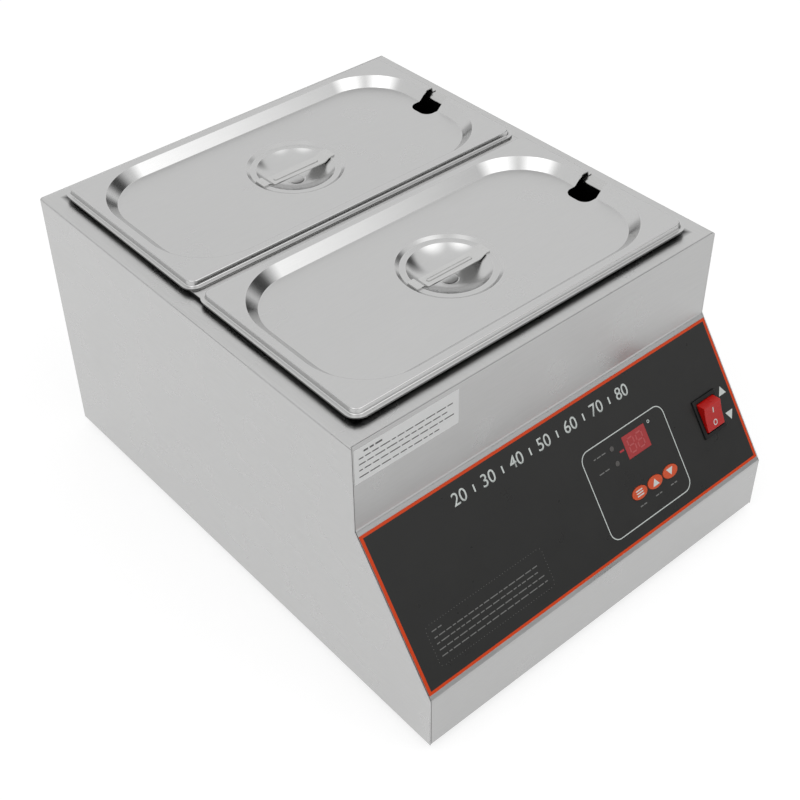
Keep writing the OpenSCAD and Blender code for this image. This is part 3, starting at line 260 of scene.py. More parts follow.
def overlayPrint(name, ink, border, halfWidth, slopeMiddle, halfHeight, stroke):
    # Charcoal film with an orange line round its edge, measured on the slope
    material, tree, shader, coords = newMaterial(name)
    turn = addNode(tree, "ShaderNodeMapping", vector_type="POINT")
    turn.inputs["Rotation"].default_value = (-slopeAngle, 0, 0)
    tree.links.new(coords.outputs["Object"], turn.inputs["Vector"])
    at = addSplit(tree, turn.outputs[0])
    across = addMath(tree, "ABSOLUTE", at[0])
    along = addMath(tree, "ABSOLUTE", addMath(tree, "SUBTRACT", at[1], slopeMiddle))
    edge = addMath(tree, "MAXIMUM", addMath(tree, "SUBTRACT", across, halfWidth - stroke),
                   addMath(tree, "SUBTRACT", along, halfHeight - stroke))
    mask = addMath(tree, "GREATER_THAN", edge, 0.0)
    skin = addNode(tree, "ShaderNodeGroup", node_tree=mouldedGroup)
    skin.inputs["Pit Size"].default_value = 700.0
    tree.links.new(coords.outputs["Object"], skin.inputs["Vector"])
    marks = skin.outputs["Marks"]
    shade = addRange(tree, marks, 0.3, 0.7, 0.0, 1.0)
    inkOut = mixColours(tree, shade, [c * 0.94 for c in ink], [c * 1.05 for c in ink])
    tree.links.new(mixColours(tree, mask, inkOut, border), shader.inputs["Base Color"])
    tree.links.new(addRange(tree, marks, 0.3, 0.7, 0.27, 0.3), shader.inputs["Roughness"])
    shader.inputs["Specular IOR Level"].default_value = 0.25
    addBump(tree, shader, skin.outputs["Height"], 0.03, 0.00003)
    return material


overlayShape = {
    "film": (0.025, 0.025, 0.0242),
    "border": (0.68, 0.055, 0.003),
    "sideMargin": 1.6 * mm,
    "line": 2.3 * mm,
}


def makeOverlayPrint():
    s = overlayShape
    low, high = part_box("panel_overlay")
    # The print's middle, seen from the frame's origin along the slope
    middle = (slopePlace.inverted() @ ((low + high) / 2)).y
    middle += (Matrix.Rotation(-slopeAngle, 4, "X") @ slopePlace.translation).y
    halfHeight = (high - low).z / 2 / math.sin(slopeAngle)
    return overlayPrint("overlayFilm", s["film"], s["border"], caseWidth / 2 - s["sideMargin"], middle,
                        halfHeight, s["line"])


finishes = {
    "satin_steel": brushedMetal("satinSteelCase", (0.515, 0.515, 0.512), 0.28, (900, 45, 900), depth=0.03),
    "front_steel": brushedMetal("satinSteelFront", (0.45, 0.45, 0.448), 0.3, (45, 900, 900), depth=0.03),
    "pan_steel": brushedMetal("panSteel", (0.5, 0.5, 0.495), 0.26, (900, 900, 900), polish=0.16, depth=0.03),
    "lid_steel": brushedMetal("lidSteel", (0.525, 0.525, 0.523), 0.3, (50, 800, 800), polish=0.17,
                              depth=0.02, contrast=0.03),
    "strap_steel": brushedMetal("strapSteel", (0.55, 0.55, 0.545), 0.24, (90, 900, 900), polish=0.16,
                                depth=0.03),
    "base_steel": brushedMetal("galvanisedSteel", (0.42, 0.43, 0.44), 0.42, (300, 300, 300), contrast=0.14),
    "zinc_steel": brushedMetal("zincPlate", (0.56, 0.55, 0.51), 0.3, (1500, 1500, 1500), contrast=0.1),
    "cast_aluminium": brushedMetal("castAluminium", (0.5, 0.51, 0.52), 0.48, (900, 900, 900), depth=0.3,
                                   contrast=0.1),
    "probe_steel": brushedMetal("probeSteel", (0.55, 0.55, 0.55), 0.2, (2000, 200, 2000)),
    "earth_brass": brushedMetal("earthBrass", (0.62, 0.43, 0.15), 0.28, (1800, 1800, 1800)),
    "transformer_tape": mouldedPlastic("transformerTape", (0.6, 0.4, 0.06), 0.45, pitSize=600.0),
    "foot_rubber": mouldedPlastic("footRubber", (0.025, 0.025, 0.025), 0.75, depth=0.2),
    "silicone_mat": mouldedPlastic("siliconeMat", (0.42, 0.1, 0.04), 0.6, depth=0.3),
    "fibre_blanket": mouldedPlastic("fibreBlanket", (0.72, 0.69, 0.62), 0.95, pitSize=500.0, depth=0.8),
    "cutout_body": mouldedPlastic("cutoutBody", (0.72, 0.7, 0.62), 0.5),
    "red_window": mouldedPlastic("redWindow", (0.4, 0.035, 0.038), 0.22, depth=0.01, variation=0.06,
                                 gloss=0.4),
    "display_red": mouldedPlastic("displayBody", (0.2, 0.02, 0.02), 0.5),
    "circuit_board": mouldedPlastic("circuitBoard", (0.02, 0.13, 0.05), 0.35, pitSize=700.0, variation=0.3),
    "black_plastic": mouldedPlastic("blackPlastic", (0.004, 0.004, 0.004), 0.4, depth=0.12, gloss=0.3),
    "lamp_lens": mouldedPlastic("lampLens", (0.085, 0.08, 0.076), 0.25, depth=0.02),
    "key_orange": mouldedPlastic("keyOrange", (0.64, 0.075, 0.012), 0.4, depth=0.05, variation=0.05),
    "rocker_red": mouldedPlastic("rockerRed", (0.5, 0.006, 0.004), 0.26, depth=0.015, variation=0.1,
                                 gloss=0.3),
    "relay_blue": mouldedPlastic("relayBlue", (0.015, 0.06, 0.3), 0.3),
    "sticker_grey": mouldedPlastic("stickerFilm", (0.9, 0.905, 0.9), 0.5, variation=0.03),
    "mains_wire": mouldedPlastic("mainsWire", (0.16, 0.07, 0.03), 0.45),
    "heater_wire": mouldedPlastic("heaterWire", (0.45, 0.03, 0.02), 0.5),
    "ribbon_grey": mouldedPlastic("ribbonGrey", (0.3, 0.31, 0.33), 0.5),
    "overlay_print": makeOverlayPrint(),
    "white_print": mouldedPlastic("whitePrint", (0.62, 0.66, 0.64), 0.5, variation=0.03),
    "grey_print": mouldedPlastic("greyPrint", (0.17, 0.17, 0.165), 0.5, variation=0.03),
    "dark_print": mouldedPlastic("darkPrint", (0.075, 0.075, 0.075), 0.5, variation=0.03),
    "red_print": mouldedPlastic("redPrint", (0.42, 0.02, 0.03), 0.4, variation=0.03),
    "lit_print": mouldedPlastic("litPrint", (0.47, 0.075, 0.078), 0.35, variation=0.03),
}
print("materials made:", len(finishes))

# Painted shade: a dark colour mixed into the steel's base colour under the pan rims and where a lid lies on
# a pan
paintedSeamShade = {
    "inset": 3 * mm,                    # the pan rims stand out this far over the platform
    "rimSheet": 0.9 * mm,
    "spread": (0.5 * mm, 5 * mm),       # how far the painted shade reaches over the deck
    "under": (0.6 * mm, 0.1 * mm),      # it starts this far under the platform's top
    "depth": (6 * mm, 5 * mm),
    "upright": (0.3, 0.6),
    "line": (0.3 * mm, 0.6 * mm),
    "dark": (0.05, 0.05, 0.05),
}


def shadeWhere(tree, mask):
    # Mixes the painted shade's dark colour into the base colour where the mask is high
    target = next(n for n in tree.nodes if n.type == "BSDF_PRINCIPLED").inputs["Base Color"]
    tree.links.new(mixColours(tree, mask, target.links[0].from_socket, paintedSeamShade["dark"]), target)


def shadePlatformFoot(tree):
    # Painted shade: the deck and the raised platform's side are darkened where they meet, under the
    # overhanging pan rims
    s = paintedSeamShade
    at = addSplit(tree, addNode(tree, "ShaderNodeTexCoord").outputs["Object"])
    low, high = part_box("pan_front")[0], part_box("pan_rear")[1]
    away = []
    for axis in (0, 1):
        offset = addMath(tree, "SUBTRACT", at[axis], (low[axis] + high[axis]) / 2)
        half = (high[axis] - low[axis]) / 2 - s["inset"]
        away.append(addMath(tree, "SUBTRACT", addMath(tree, "ABSOLUTE", offset), half))
    near = addRange(tree, addMath(tree, "MAXIMUM", *away), *s["spread"], 1.0, 0.0)
    top = high.z - s["rimSheet"]
    under = addRange(tree, at[2], *[top - d for d in s["under"]], 1.0, 0.0)
    over = addRange(tree, at[2], *[top - d for d in s["depth"]], 0.0, 1.0)
    shadeWhere(tree, addMath(tree, "MULTIPLY", near, addMath(tree, "MULTIPLY", under, over)))


def shadeRimSeam(tree):
    # Painted shade: a thin dark line on the upright faces where a lid's lip lies on the pan's rim
    coords = addNode(tree, "ShaderNodeTexCoord").outputs
    facing = addMath(tree, "ABSOLUTE", addSplit(tree, coords["Normal"])[2])
    upright = addRange(tree, facing, *paintedSeamShade["upright"], 1.0, 0.0)
    height = addSplit(tree, coords["Object"])[2]
    offset = addMath(tree, "ABSOLUTE", addMath(tree, "SUBTRACT", height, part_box("pan_front")[1].z))
    line = addRange(tree, offset, *paintedSeamShade["line"], 1.0, 0.0)
    shadeWhere(tree, addMath(tree, "MULTIPLY", upright, line))


# Painted shade on the case's steel round the platform's foot
shadePlatformFoot(finishes["satin_steel"].node_tree)
# Painted shade line where the lids lie on the pans
shadeRimSeam(finishes["lid_steel"].node_tree)
shadeRimSeam(finishes["pan_steel"].node_tree)


# Mesh parts

def bevel(bm, geom, width, segments, affect="EDGES", clamp=False):
    bmesh.ops.bevel(bm, geom=geom, offset=width, offset_type="OFFSET", segments=segments, profile=0.5,
                    affect=affect, material=-1, clamp_overlap=clamp)


def plate(bm, width, depth, radius, z, steps=24, centre=(0, 0)):
    # Flat face with rounded corners
    before = set(bm.faces)
    corners = bmesh.ops.create_grid(bm, x_segments=1, y_segments=1, size=0.5)["verts"]
    bmesh.ops.scale(bm, vec=(width, depth, 1), verts=corners)
    bmesh.ops.translate(bm, vec=(centre[0], centre[1], z), verts=corners)
    if radius:
        bevel(bm, corners, radius, steps, affect="VERTICES")
    return next(f for f in bm.faces if f not in before)


def disc(bm, radius, z, count=100, centre=(0, 0), turn=0):
    before = set(bm.faces)
    rim = bmesh.ops.create_circle(bm, cap_ends=True, radius=radius, segments=count)["verts"]
    bmesh.ops.rotate(bm, cent=(0, 0, 0), matrix=Matrix.Rotation(turn, 3, "Z"), verts=rim)
    bmesh.ops.translate(bm, vec=(centre[0], centre[1], z), verts=rim)
    return next(f for f in bm.faces if f not in before)


def stepIn(bm, face, inwards, rise):
    bmesh.ops.inset_region(bm, faces=[face], thickness=inwards, use_even_offset=True, use_boundary=True)
    if rise:
        bmesh.ops.translate(bm, vec=(0, 0, rise), verts=face.verts)


def openRim(bm, face):
    rim = list(face.edges)
    bmesh.ops.delete(bm, geom=[face], context="FACES_ONLY")
    return rim


def onlyVerts(geom):
    return [v for v in geom if isinstance(v, bmesh.types.BMVert)]


def thicken(bm, face, depth):
    # Turns a lone face into a closed slab that reaches down by depth
    made = bmesh.ops.extrude_face_region(bm, geom=[face])["geom"]
    bmesh.ops.translate(bm, vec=(0, 0, -depth), verts=onlyVerts(made))


def pull(bm, edges, along):
    made = bmesh.ops.extrude_edge_only(bm, edges=edges)["geom"]
    bmesh.ops.translate(bm, vec=along, verts=onlyVerts(made))


def pullProfile(bm, points, along):
    row = [bm.verts.new(point) for point in points]
    pull(bm, [bm.edges.new(pair) for pair in zip(row, row[1:])], along)


def roundBends(bm, radius, least=0.3, segments=4, keep=lambda edge: True):
    # Rounds the edges whose faces turn by more than least, in radians
    sharp = [e for e in bm.edges if len(e.link_faces) == 2 and e.calc_face_angle() > least and keep(e)]
    bevel(bm, sharp, radius, segments, clamp=True)


def faceTowards(bm, direction):
    bmesh.ops.recalc_face_normals(bm, faces=bm.faces)
    if sum(f.normal.dot(direction) * f.calc_area() for f in bm.faces) < 0:
        bmesh.ops.reverse_faces(bm, faces=bm.faces)


def newObject(name, bm, material):
    mesh = bpy.data.meshes.new(name)
    bm.to_mesh(mesh)
    bm.free()
    mesh.materials.append(material)
    thing = bpy.data.objects.new(name, mesh)
    bpy.context.scene.collection.objects.link(thing)
    return thing


def newPiece(name, bm, finish, outwards=True):
    if outwards:
        bmesh.ops.recalc_face_normals(bm, faces=bm.faces)
    return newObject(name, bm, finishes[finish])


def settle(piece):
    # Keeps what the modifiers made as the piece's own mesh
    bpy.context.view_layer.update()
    made = bpy.data.meshes.new_from_object(piece.evaluated_get(bpy.context.evaluated_depsgraph_get()))
    piece.modifiers.clear()
    piece.data = made


def shadeSmooth(piece, angle=35):
    piece.data.shade_smooth()
    piece.data.set_sharp_from_angle(angle=math.radians(angle))
    weighted = piece.modifiers.new("evenShading", "WEIGHTED_NORMAL")
    weighted.keep_sharp = True
    weighted.weight = 80


def giveThickness(piece, sheet, even=False):
    wall = piece.modifiers.new("sheet", "SOLIDIFY")
    wall.thickness = sheet
    wall.offset = -1
    wall.use_even_offset = even


def cutWith(piece, cutter):
    hole = piece.modifiers.new("cut", "BOOLEAN")
    hole.operation = "DIFFERENCE"
    hole.solver = "EXACT"
    hole.object = cutter
    settle(piece)
    bpy.data.objects.remove(cutter)


def softenEdges(piece, width, segments=2):
    soft = piece.modifiers.new("softEdges", "BEVEL")
    soft.width = width
    soft.segments = segments
    soft.limit_method = "ANGLE"
    soft.angle_limit = math.radians(50)
    soft.use_clamp_overlap = True


def finishSheet(piece, softEdge, segments=2):
    softenEdges(piece, softEdge, segments)
    settle(piece)
    shadeSmooth(piece, angle=40)


def dress(piece, body, slot, *nodes):
    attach(piece, body)
    if nodes:
        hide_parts(*nodes)


def softCopy(node, body, slot, width, shortest, segments=2):
    # A CAD node's shape with its long sharp edges softened
    bm = bmesh.new()
    bm.from_mesh(frame["nodes"][node].data)
    bmesh.ops.remove_doubles(bm, verts=bm.verts, dist=tiny)
    bmesh.ops.dissolve_limit(bm, angle_limit=0.01, verts=bm.verts, edges=bm.edges)
    sharp = [e for e in bm.edges
             if e.is_manifold and e.calc_length() > shortest and e.calc_face_angle() > 0.6]
    bevel(bm, sharp, width, segments)
    piece = newPiece(node + "Soft", bm, slot, outwards=False)
    shadeSmooth(piece)
    dress(piece, body, slot, node)


# Lids

lidShape = {
    "sheet": 0.8 * mm,
    "corner": 10 * mm,
    "lip": 3.2 * mm,
    "stepLean": 0.9 * mm,
    "rise": 4.8 * mm,
    "border": 10.6 * mm,
    "panelCorner": 53 * mm,
    "panelLean": 8.1 * mm,
    "panelDepth": 8 * mm,
    "ring": 80 * mm,
    "ringLean": 3.3 * mm,
    "ringDepth": 2 * mm,
    "bowl": 63.8 * mm,
    "bowlDepth": 10.5 * mm,
    "bowlFlat": 16 * mm,
    "bowlRings": 16,
    "bowlMark": ((0.4 * mm, 0), (0.5 * mm, -0.35 * mm), (0.9 * mm, 0), (0.5 * mm, 0.35 * mm)),
    "notchWidth": 22.5 * mm,
    "notchLength": 31.6 * mm,
    "notchCorner": 8 * mm,
    "notchTop": 12 * mm,
    "notchCut": 40 * mm,
    "bend": 1.5 * mm,
    "rimBend": 0.7 * mm,
    "rimBand": 6 * mm,      # edges this near the rim have its smaller bend
    "softEdge": 0.34 * mm,
}


def sinkBowl(bm, face):
    # Steps follow a sphere from the bowl's mouth to its flat bottom
    s = lidShape
    mouth = s["bowl"] / 2
    roundness = (mouth ** 2 + s["bowlDepth"] ** 2) / (2 * s["bowlDepth"])
    reach, drop = mouth, 0
    for k in range(1, s["bowlRings"] + 1):
        inner = mouth - (s["bowl"] - s["bowlFlat"]) / 2 * k / s["bowlRings"]
        depth = s["bowlDepth"] - roundness + math.sqrt(roundness ** 2 - inner ** 2)
        stepIn(bm, face, reach - inner, drop - depth)
        reach, drop = inner, depth


def makeLid(name, node, body):
    s = lidShape
    low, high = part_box(node)
    size = high - low
    middle = (low + high) / 2
    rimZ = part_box(node.replace("lid", "pan"))[1].z
    bm = bmesh.new()
    lip = plate(bm, size.x, size.y, s["corner"], s["sheet"])
    stepIn(bm, lip, s["lip"], 0)
    stepIn(bm, lip, s["stepLean"], s["rise"] - s["sheet"])
    outer = openRim(bm, lip)
    panel = plate(bm, size.x - 2 * s["border"], size.y - 2 * s["border"], s["panelCorner"], s["rise"])
    bmesh.ops.bridge_loops(bm, edges=outer + list(panel.edges))
    stepIn(bm, panel, s["panelLean"], -s["panelDepth"])
    floorRim = openRim(bm, panel)
    ring = disc(bm, s["ring"] / 2, s["rise"] - s["panelDepth"])
    bmesh.ops.bridge_loops(bm, edges=floorRim + list(ring.edges))
    stepIn(bm, ring, s["ringLean"], -s["ringDepth"])
    stepIn(bm, ring, s["ring"] / 2 - s["ringLean"] - s["bowl"] / 2, 0)
    sinkBowl(bm, ring)
    innerX, innerY = size.x / 2 - s["rimBand"], size.y / 2 - s["rimBand"]

    def nearRim(edge):
        return all(abs(v.co.x) > innerX or abs(v.co.y) > innerY for v in edge.verts)

    roundBends(bm, s["rimBend"], keep=nearRim)
    roundBends(bm, s["bend"], keep=lambda edge: not nearRim(edge))
    # Round mark stamped in the bottom of the bowl
    bottom = min((f for f in bm.faces if len(f.verts) > 40), key=lambda f: f.calc_center_median().z)
    for inwards, rise in s["bowlMark"]:
        stepIn(bm, bottom, inwards, rise)
    bmesh.ops.translate(bm, vec=(middle.x, middle.y, rimZ), verts=bm.verts)
    faceTowards(bm, skyward)
    piece = newPiece(name, bm, "lid_steel", outwards=False)
    giveThickness(piece, s["sheet"], even=True)
    cutter = bmesh.new()
    notch = plate(cutter, size.x, s["notchWidth"], s["notchCorner"], rimZ + s["notchTop"], steps=12,
                  centre=(middle.x + size.x - s["notchLength"], middle.y))
    thicken(cutter, notch, s["notchCut"])
    cutWith(piece, newPiece("notchCutter", cutter, "lid_steel"))
    finishSheet(piece, s["softEdge"], segments=3)
    dress(piece, body, "lid_steel", node)


strapShape = {
    "pad": 6.5 * mm,
    "slope": 4 * mm,
    "drop": 2.5 * mm,
    "sheet": 1.2 * mm,
    "corner": 2 * mm,
    "bend": 1.1 * mm,
    "softEdge": 0.25 * mm,
    "beadLength": 44 * mm,
    "beadWidth": 3.6 * mm,
    "beadRound": 0.46,      # its corners' radius, as a share of its width
    "beadHeight": 0.7 * mm,
    "beadSunk": 0.2 * mm,
    "beadSoft": 0.16 * mm,
    "grooveEdge": 0.75 * mm,
    "grooveLean": 0.1 * mm,
    "grooveDepth": 0.55 * mm,
    "weldIn": 2.6 * mm,
    "weldRadius": 0.8 * mm,
    "weldHeight": 0.15 * mm,
}


def makeStrap(name, node, body):
    s = strapShape
    low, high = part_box(node)
    middle = (low + high) / 2
    half = (high.x - low.x) / 2
    padEnd, slopeEnd = half - s["pad"], half - s["pad"] - s["slope"]
    corners = [(-half, 0), (-padEnd, 0), (-slopeEnd, -s["drop"]),
               (slopeEnd, -s["drop"]), (padEnd, 0), (half, 0)]
    bm = bmesh.new()
    pullProfile(bm, [(x, low.y - middle.y, z) for x, z in corners], (0, high.y - low.y, 0))
    tips = [v for v in bm.verts if abs(abs(v.co.x) - half) < tiny]
    bevel(bm, tips, s["corner"], segments=6, affect="VERTICES")
    roundBends(bm, s["bend"], least=0.2)
    bmesh.ops.translate(bm, vec=(middle.x, middle.y, high.z), verts=bm.verts)
    faceTowards(bm, skyward)
    piece = newPiece(name, bm, "strap_steel", outwards=False)
    giveThickness(piece, s["sheet"])
    finishSheet(piece, s["softEdge"])
    dress(piece, body, "strap_steel", node)
    makeBead(name + "Bead", body, middle, high.z, half)


def makeBead(name, body, middle, padTop, half):
    # Raised and grooved bead along the strap's middle, and a weld dot at each end
    s = strapShape
    bm = bmesh.new()
    beadTop, weldTop = padTop - s["drop"] + s["beadHeight"], padTop + s["weldHeight"]
    shapes = [plate(bm, s["beadLength"], s["beadWidth"], s["beadRound"] * s["beadWidth"], beadTop,
                    steps=10, centre=middle.xy)]
    for side in (-1, 1):
        weldAt = (middle.x + side * (half - s["weldIn"]), middle.y)
        shapes.append(disc(bm, s["weldRadius"], weldTop, count=20, centre=weldAt))
    for shape in shapes:
        thicken(bm, shape, s["beadHeight"] + s["beadSunk"])
    groove = max((f for f in bm.faces if f.normal.z > 0.9 or f.calc_center_median().z > beadTop - 0.01 * mm),
                 key=lambda f: f.calc_area())
    stepIn(bm, groove, s["grooveEdge"], 0)
    stepIn(bm, groove, s["grooveLean"], -s["grooveDepth"])
    roundBends(bm, s["beadSoft"], least=0.9, segments=3)
    bead = newPiece(name, bm, "strap_steel")
    shadeSmooth(bead, angle=60)
    dress(bead, body, "strap_steel")


for side in ("front", "rear"):
    makeLid(side + "Lid", "lid_" + side, side + "_lid")
    makeStrap(side + "Strap", "lid_handle_" + side, side + "_lid")
print("lids made")


# Pans

panShape = {
    "sheet": 0.9 * mm,
    "rim": 10 * mm,
    "rimCorner": 11 * mm,
    "mouthCorner": 32 * mm,
    "lean": 7 * mm,
    "bottomRadius": 13 * mm,
    "rimBend": 2.4 * mm,
    "softEdge": 0.42 * mm,
}


def makePan(name, node, body):
    s = panShape
    low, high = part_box(node)
    size = high - low
    middle = (low + high) / 2
    bm = bmesh.new()
    outer = openRim(bm, plate(bm, size.x, size.y, s["rimCorner"], 0))
    mouth = plate(bm, size.x - 2 * s["rim"], size.y - 2 * s["rim"], s["mouthCorner"], 0)
    bmesh.ops.bridge_loops(bm, edges=outer + list(mouth.edges))
    stepIn(bm, mouth, s["lean"], -(size.z - s["sheet"]))
    bevel(bm, list(mouth.edges), s["bottomRadius"], segments=10, clamp=True)
    roundBends(bm, s["rimBend"], least=0.6, segments=5,
               keep=lambda edge: all(v.co.z > -tiny for v in edge.verts))
    bmesh.ops.translate(bm, vec=(middle.x, middle.y, high.z), verts=bm.verts)
    faceTowards(bm, skyward)
    piece = newPiece(name, bm, "pan_steel", outwards=False)
    giveThickness(piece, s["sheet"])
    finishSheet(piece, s["softEdge"], segments=3)
    dress(piece, body, "pan_steel", node)


for side in ("front", "rear"):
    makePan(side + "Pan", "pan_" + side, side + "_pan")
print("pans made")


# Case

def centreOnSlope(node):
    low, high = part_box(node)
    return slopePlace.inverted() @ ((low + high) / 2)


panelShape = {
    "display": (24.8 * mm, 18.6 * mm),
    "keyOpening": (8.2 * mm, 5.2 * mm),
    "keyUp": 36.9 * mm,
    "lampOpening": 2.1 * mm,
    "lampUp": 72.1 * mm,
    "lampStep": 6.1 * mm,
    "switchOpening": (22.7 * mm, 28.4 * mm),
    "switchUp": 57 * mm,
    "cut": 4 * mm,
    "softEdge": 0.2 * mm,
}
displayAt = centreOnSlope("display_window")
keysAt = {key: centreOnSlope(key + "_key") for key in ("set", "up", "down")}
switchX = sum(corner.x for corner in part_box("switch_housing")) / 2


def makePanelCutter():
    # Openings for the display, keys, lamps and switch
    s = panelShape
    reach = s["cut"]
    bm = bmesh.new()
    shapes = [plate(bm, *s["display"], 0, reach, centre=displayAt.xy)]
    for at in keysAt.values():
        oval = disc(bm, 1, 0, count=48)
        bmesh.ops.scale(bm, vec=(*s["keyOpening"], 1), verts=oval.verts)
        bmesh.ops.translate(bm, vec=(at.x, s["keyUp"], reach), verts=oval.verts)
        shapes.append(oval)
    lampX = centreOnSlope("indicator_lamps").x
    for step in (-s["lampStep"], s["lampStep"]):
        shapes.append(disc(bm, s["lampOpening"], reach, count=32, centre=(lampX, s["lampUp"] + step)))
    shapes.append(plate(bm, *s["switchOpening"], 0, reach, centre=(switchX, s["switchUp"])))
    for shape in shapes:
        thicken(bm, shape, 2 * reach)
    bmesh.ops.transform(bm, matrix=slopePlace, verts=bm.verts)
    return newPiece("panelCutter", bm, "front_steel")


def makeFrontPanel():
    s = caseShape
    half = caseWidth / 2 - s["sheet"] - s["seam"]
    profile = [(frontY + s["foldWidth"], caseFloor), (frontY, caseFloor), (frontY, slopeFoot),
               (fasciaY, foldZ), (fasciaY, deckTop)]
    bm = bmesh.new()
    pullProfile(bm, [(-half, y, z) for y, z in profile], (2 * half, 0, 0))
    roundBends(bm, s["bendRadius"], least=0.2, segments=5)
    faceTowards(bm, frontward)
    piece = newPiece("frontPanelSheet", bm, "front_steel", outwards=False)
    giveThickness(piece, s["sheet"], even=True)
    cutWith(piece, makePanelCutter())
    finishSheet(piece, panelShape["softEdge"])
    dress(piece, "case", "satin_steel", "front_panel")


makeFrontPanel()
softCopy("outer_shell", "case", "satin_steel", width=0.35 * mm, shortest=9 * mm)
softCopy("back_panel", "case", "satin_steel", width=0.3 * mm, shortest=20 * mm)
for corner in ("front_left", "front_right", "rear_left", "rear_right"):
    softCopy("foot_" + corner, "case", "foot_rubber", width=0.6 * mm, shortest=0.6 * mm)
softCopy("switch_housing", "case", "black_plastic", width=0.35 * mm, shortest=1.5 * mm, segments=3)
softCopy("switch_rocker", "rocker", "rocker_red", width=0.45 * mm, shortest=2.5 * mm, segments=3)
for key in keysAt:
    softCopy(key + "_key", key + "_button", "key_orange", width=0.25 * mm, shortest=0.3 * mm)
print("case made")

slots = {subpart["node"]: subpart["material_slot"] for subpart in frame["record"]["subparts"]}
for node, thing in frame["nodes"].items():
    thing.data.materials.clear()
    thing.data.materials.append(finishes[slots[node]])


# Print on the control panel

inkThickness = 0.05 * mm
inkLift = 0.03 * mm
filmTop = 0.4 * mm
filmPlace = slopePlace @ Matrix.Translation((0, 0, filmTop + inkLift))


def frameLine(bm, x, y, width, height, radius, line):
    face = plate(bm, width, height, radius, 0, steps=10, centre=(x, y))
    stepIn(bm, face, line, 0)
    bmesh.ops.delete(bm, geom=[face], context="FACES_ONLY")


def spanMiddle(values):
    return (max(values) + min(values)) / 2


def spanWidth(values):
    return max(values) - min(values)


def triangle(bm, x, y, width, height, upwards=True):
    face = disc(bm, 1, 0, count=3, turn=0 if upwards else math.pi)
    xs, ys = [v.co.x for v in face.verts], [v.co.y for v in face.verts]
    bmesh.ops.scale(bm, vec=(width / spanWidth(xs), height / spanWidth(ys), 1), verts=face.verts)
    xs, ys = [v.co.x for v in face.verts], [v.co.y for v in face.verts]
    bmesh.ops.translate(bm, vec=(x - spanMiddle(xs), y - spanMiddle(ys), 0), verts=face.verts)


def bar(bm, x, y, width, height, radius=0):
    plate(bm, width, height, radius, 0, steps=4, centre=(x, y))


def ruledLine(bm, left, right, y, height, shortest, longest, gap):
    # A line broken into dashes of uneven lengths
    x = left
    while x < right - shortest:
        width = min(shortest + (longest - shortest) * dice.random(), right - x)
        bar(bm, x + width / 2, y, width, height)
        x += width + gap


def finishPrint(name, bm, place, finish, body="case", slot="overlay_print"):
    bmesh.ops.transform(bm, matrix=place, verts=bm.verts)
    normal = place.to_3x3() @ skyward
    for face in bm.faces:
        face.normal_update()
        if face.normal.dot(normal) < 0:
            face.normal_flip()
    piece = newPiece(name, bm, finish, outwards=False)
    layer = piece.modifiers.new("ink", "SOLIDIFY")
    layer.thickness = inkThickness
    layer.offset = 0
    dress(piece, body, slot)


scaleShape = {
    "numbers": [str(n) for n in range(20, 90, 10)],
    "left": 84 * mm,
    "step": 27.5 * mm,
    "up": 111 * mm,
    "size": 13.5 * mm,
    "weight": 0.06 * mm,
    "tick": (1.3 * mm, 5.5 * mm),
}


def numeralMesh(number):
    letters = bpy.data.curves.new("number" + number, "FONT")
    letters.body = number
    letters.size = scaleShape["size"]
    letters.offset = scaleShape["weight"]
    letters.align_x = "CENTER"
    letters.align_y = "CENTER"
    letters.resolution_u = 6
    thing = bpy.data.objects.new("number" + number, letters)
    bpy.context.scene.collection.objects.link(thing)
    bpy.context.view_layer.update()
    mesh = bpy.data.meshes.new_from_object(thing.evaluated_get(bpy.context.evaluated_depsgraph_get()))
    bpy.data.objects.remove(thing)
    return mesh


def makeScale():
    # Plain temperature scale: numerals with ticks between them
    s = scaleShape
    first = leftEdge + s["left"]
    bm = bmesh.new()
    for k, number in enumerate(s["numbers"]):
        mesh = numeralMesh(number)
        mesh.transform(Matrix.Translation((first + k * s["step"], s["up"], 0)))
        bm.from_mesh(mesh)
    for k in range(len(s["numbers"]) - 1):
        bar(bm, first + (k + 0.5) * s["step"], s["up"], *s["tick"])
    finishPrint("temperatureScale", bm, filmPlace, "white_print")


controlsShape = {
    "box": (190.3 * mm, 279.7 * mm, 15 * mm, 87.8 * mm),
    "corner": 8.5 * mm,
    "line": 0.75 * mm,
}


def makeControlsFrame():
    s = controlsShape
    left, right, low, high = s["box"]
    bm = bmesh.new()
    frameLine(bm, leftEdge + (left + right) / 2, (low + high) / 2, right - left, high - low,
              s["corner"], s["line"])
    finishPrint("controlsFrame", bm, filmPlace, "white_print")


noteShape = {
    "box": (18.5 * mm, 129 * mm, 16.5 * mm, 47 * mm),
    "corner": 3 * mm,
    "pitch": 2.55 * mm,
    "dot": 0.24 * mm,
    "cornerDot": 0.9 * mm,
    "margin": 4 * mm,
    "heading": 16 * mm,
    "ragged": 6 * mm,
    "rows": (41.8 * mm, 36.8 * mm, 32.3 * mm, 27.5 * mm, 22.8 * mm),
    "rule": (0.75 * mm, 2.5 * mm, 8 * mm, 1.3 * mm),
}


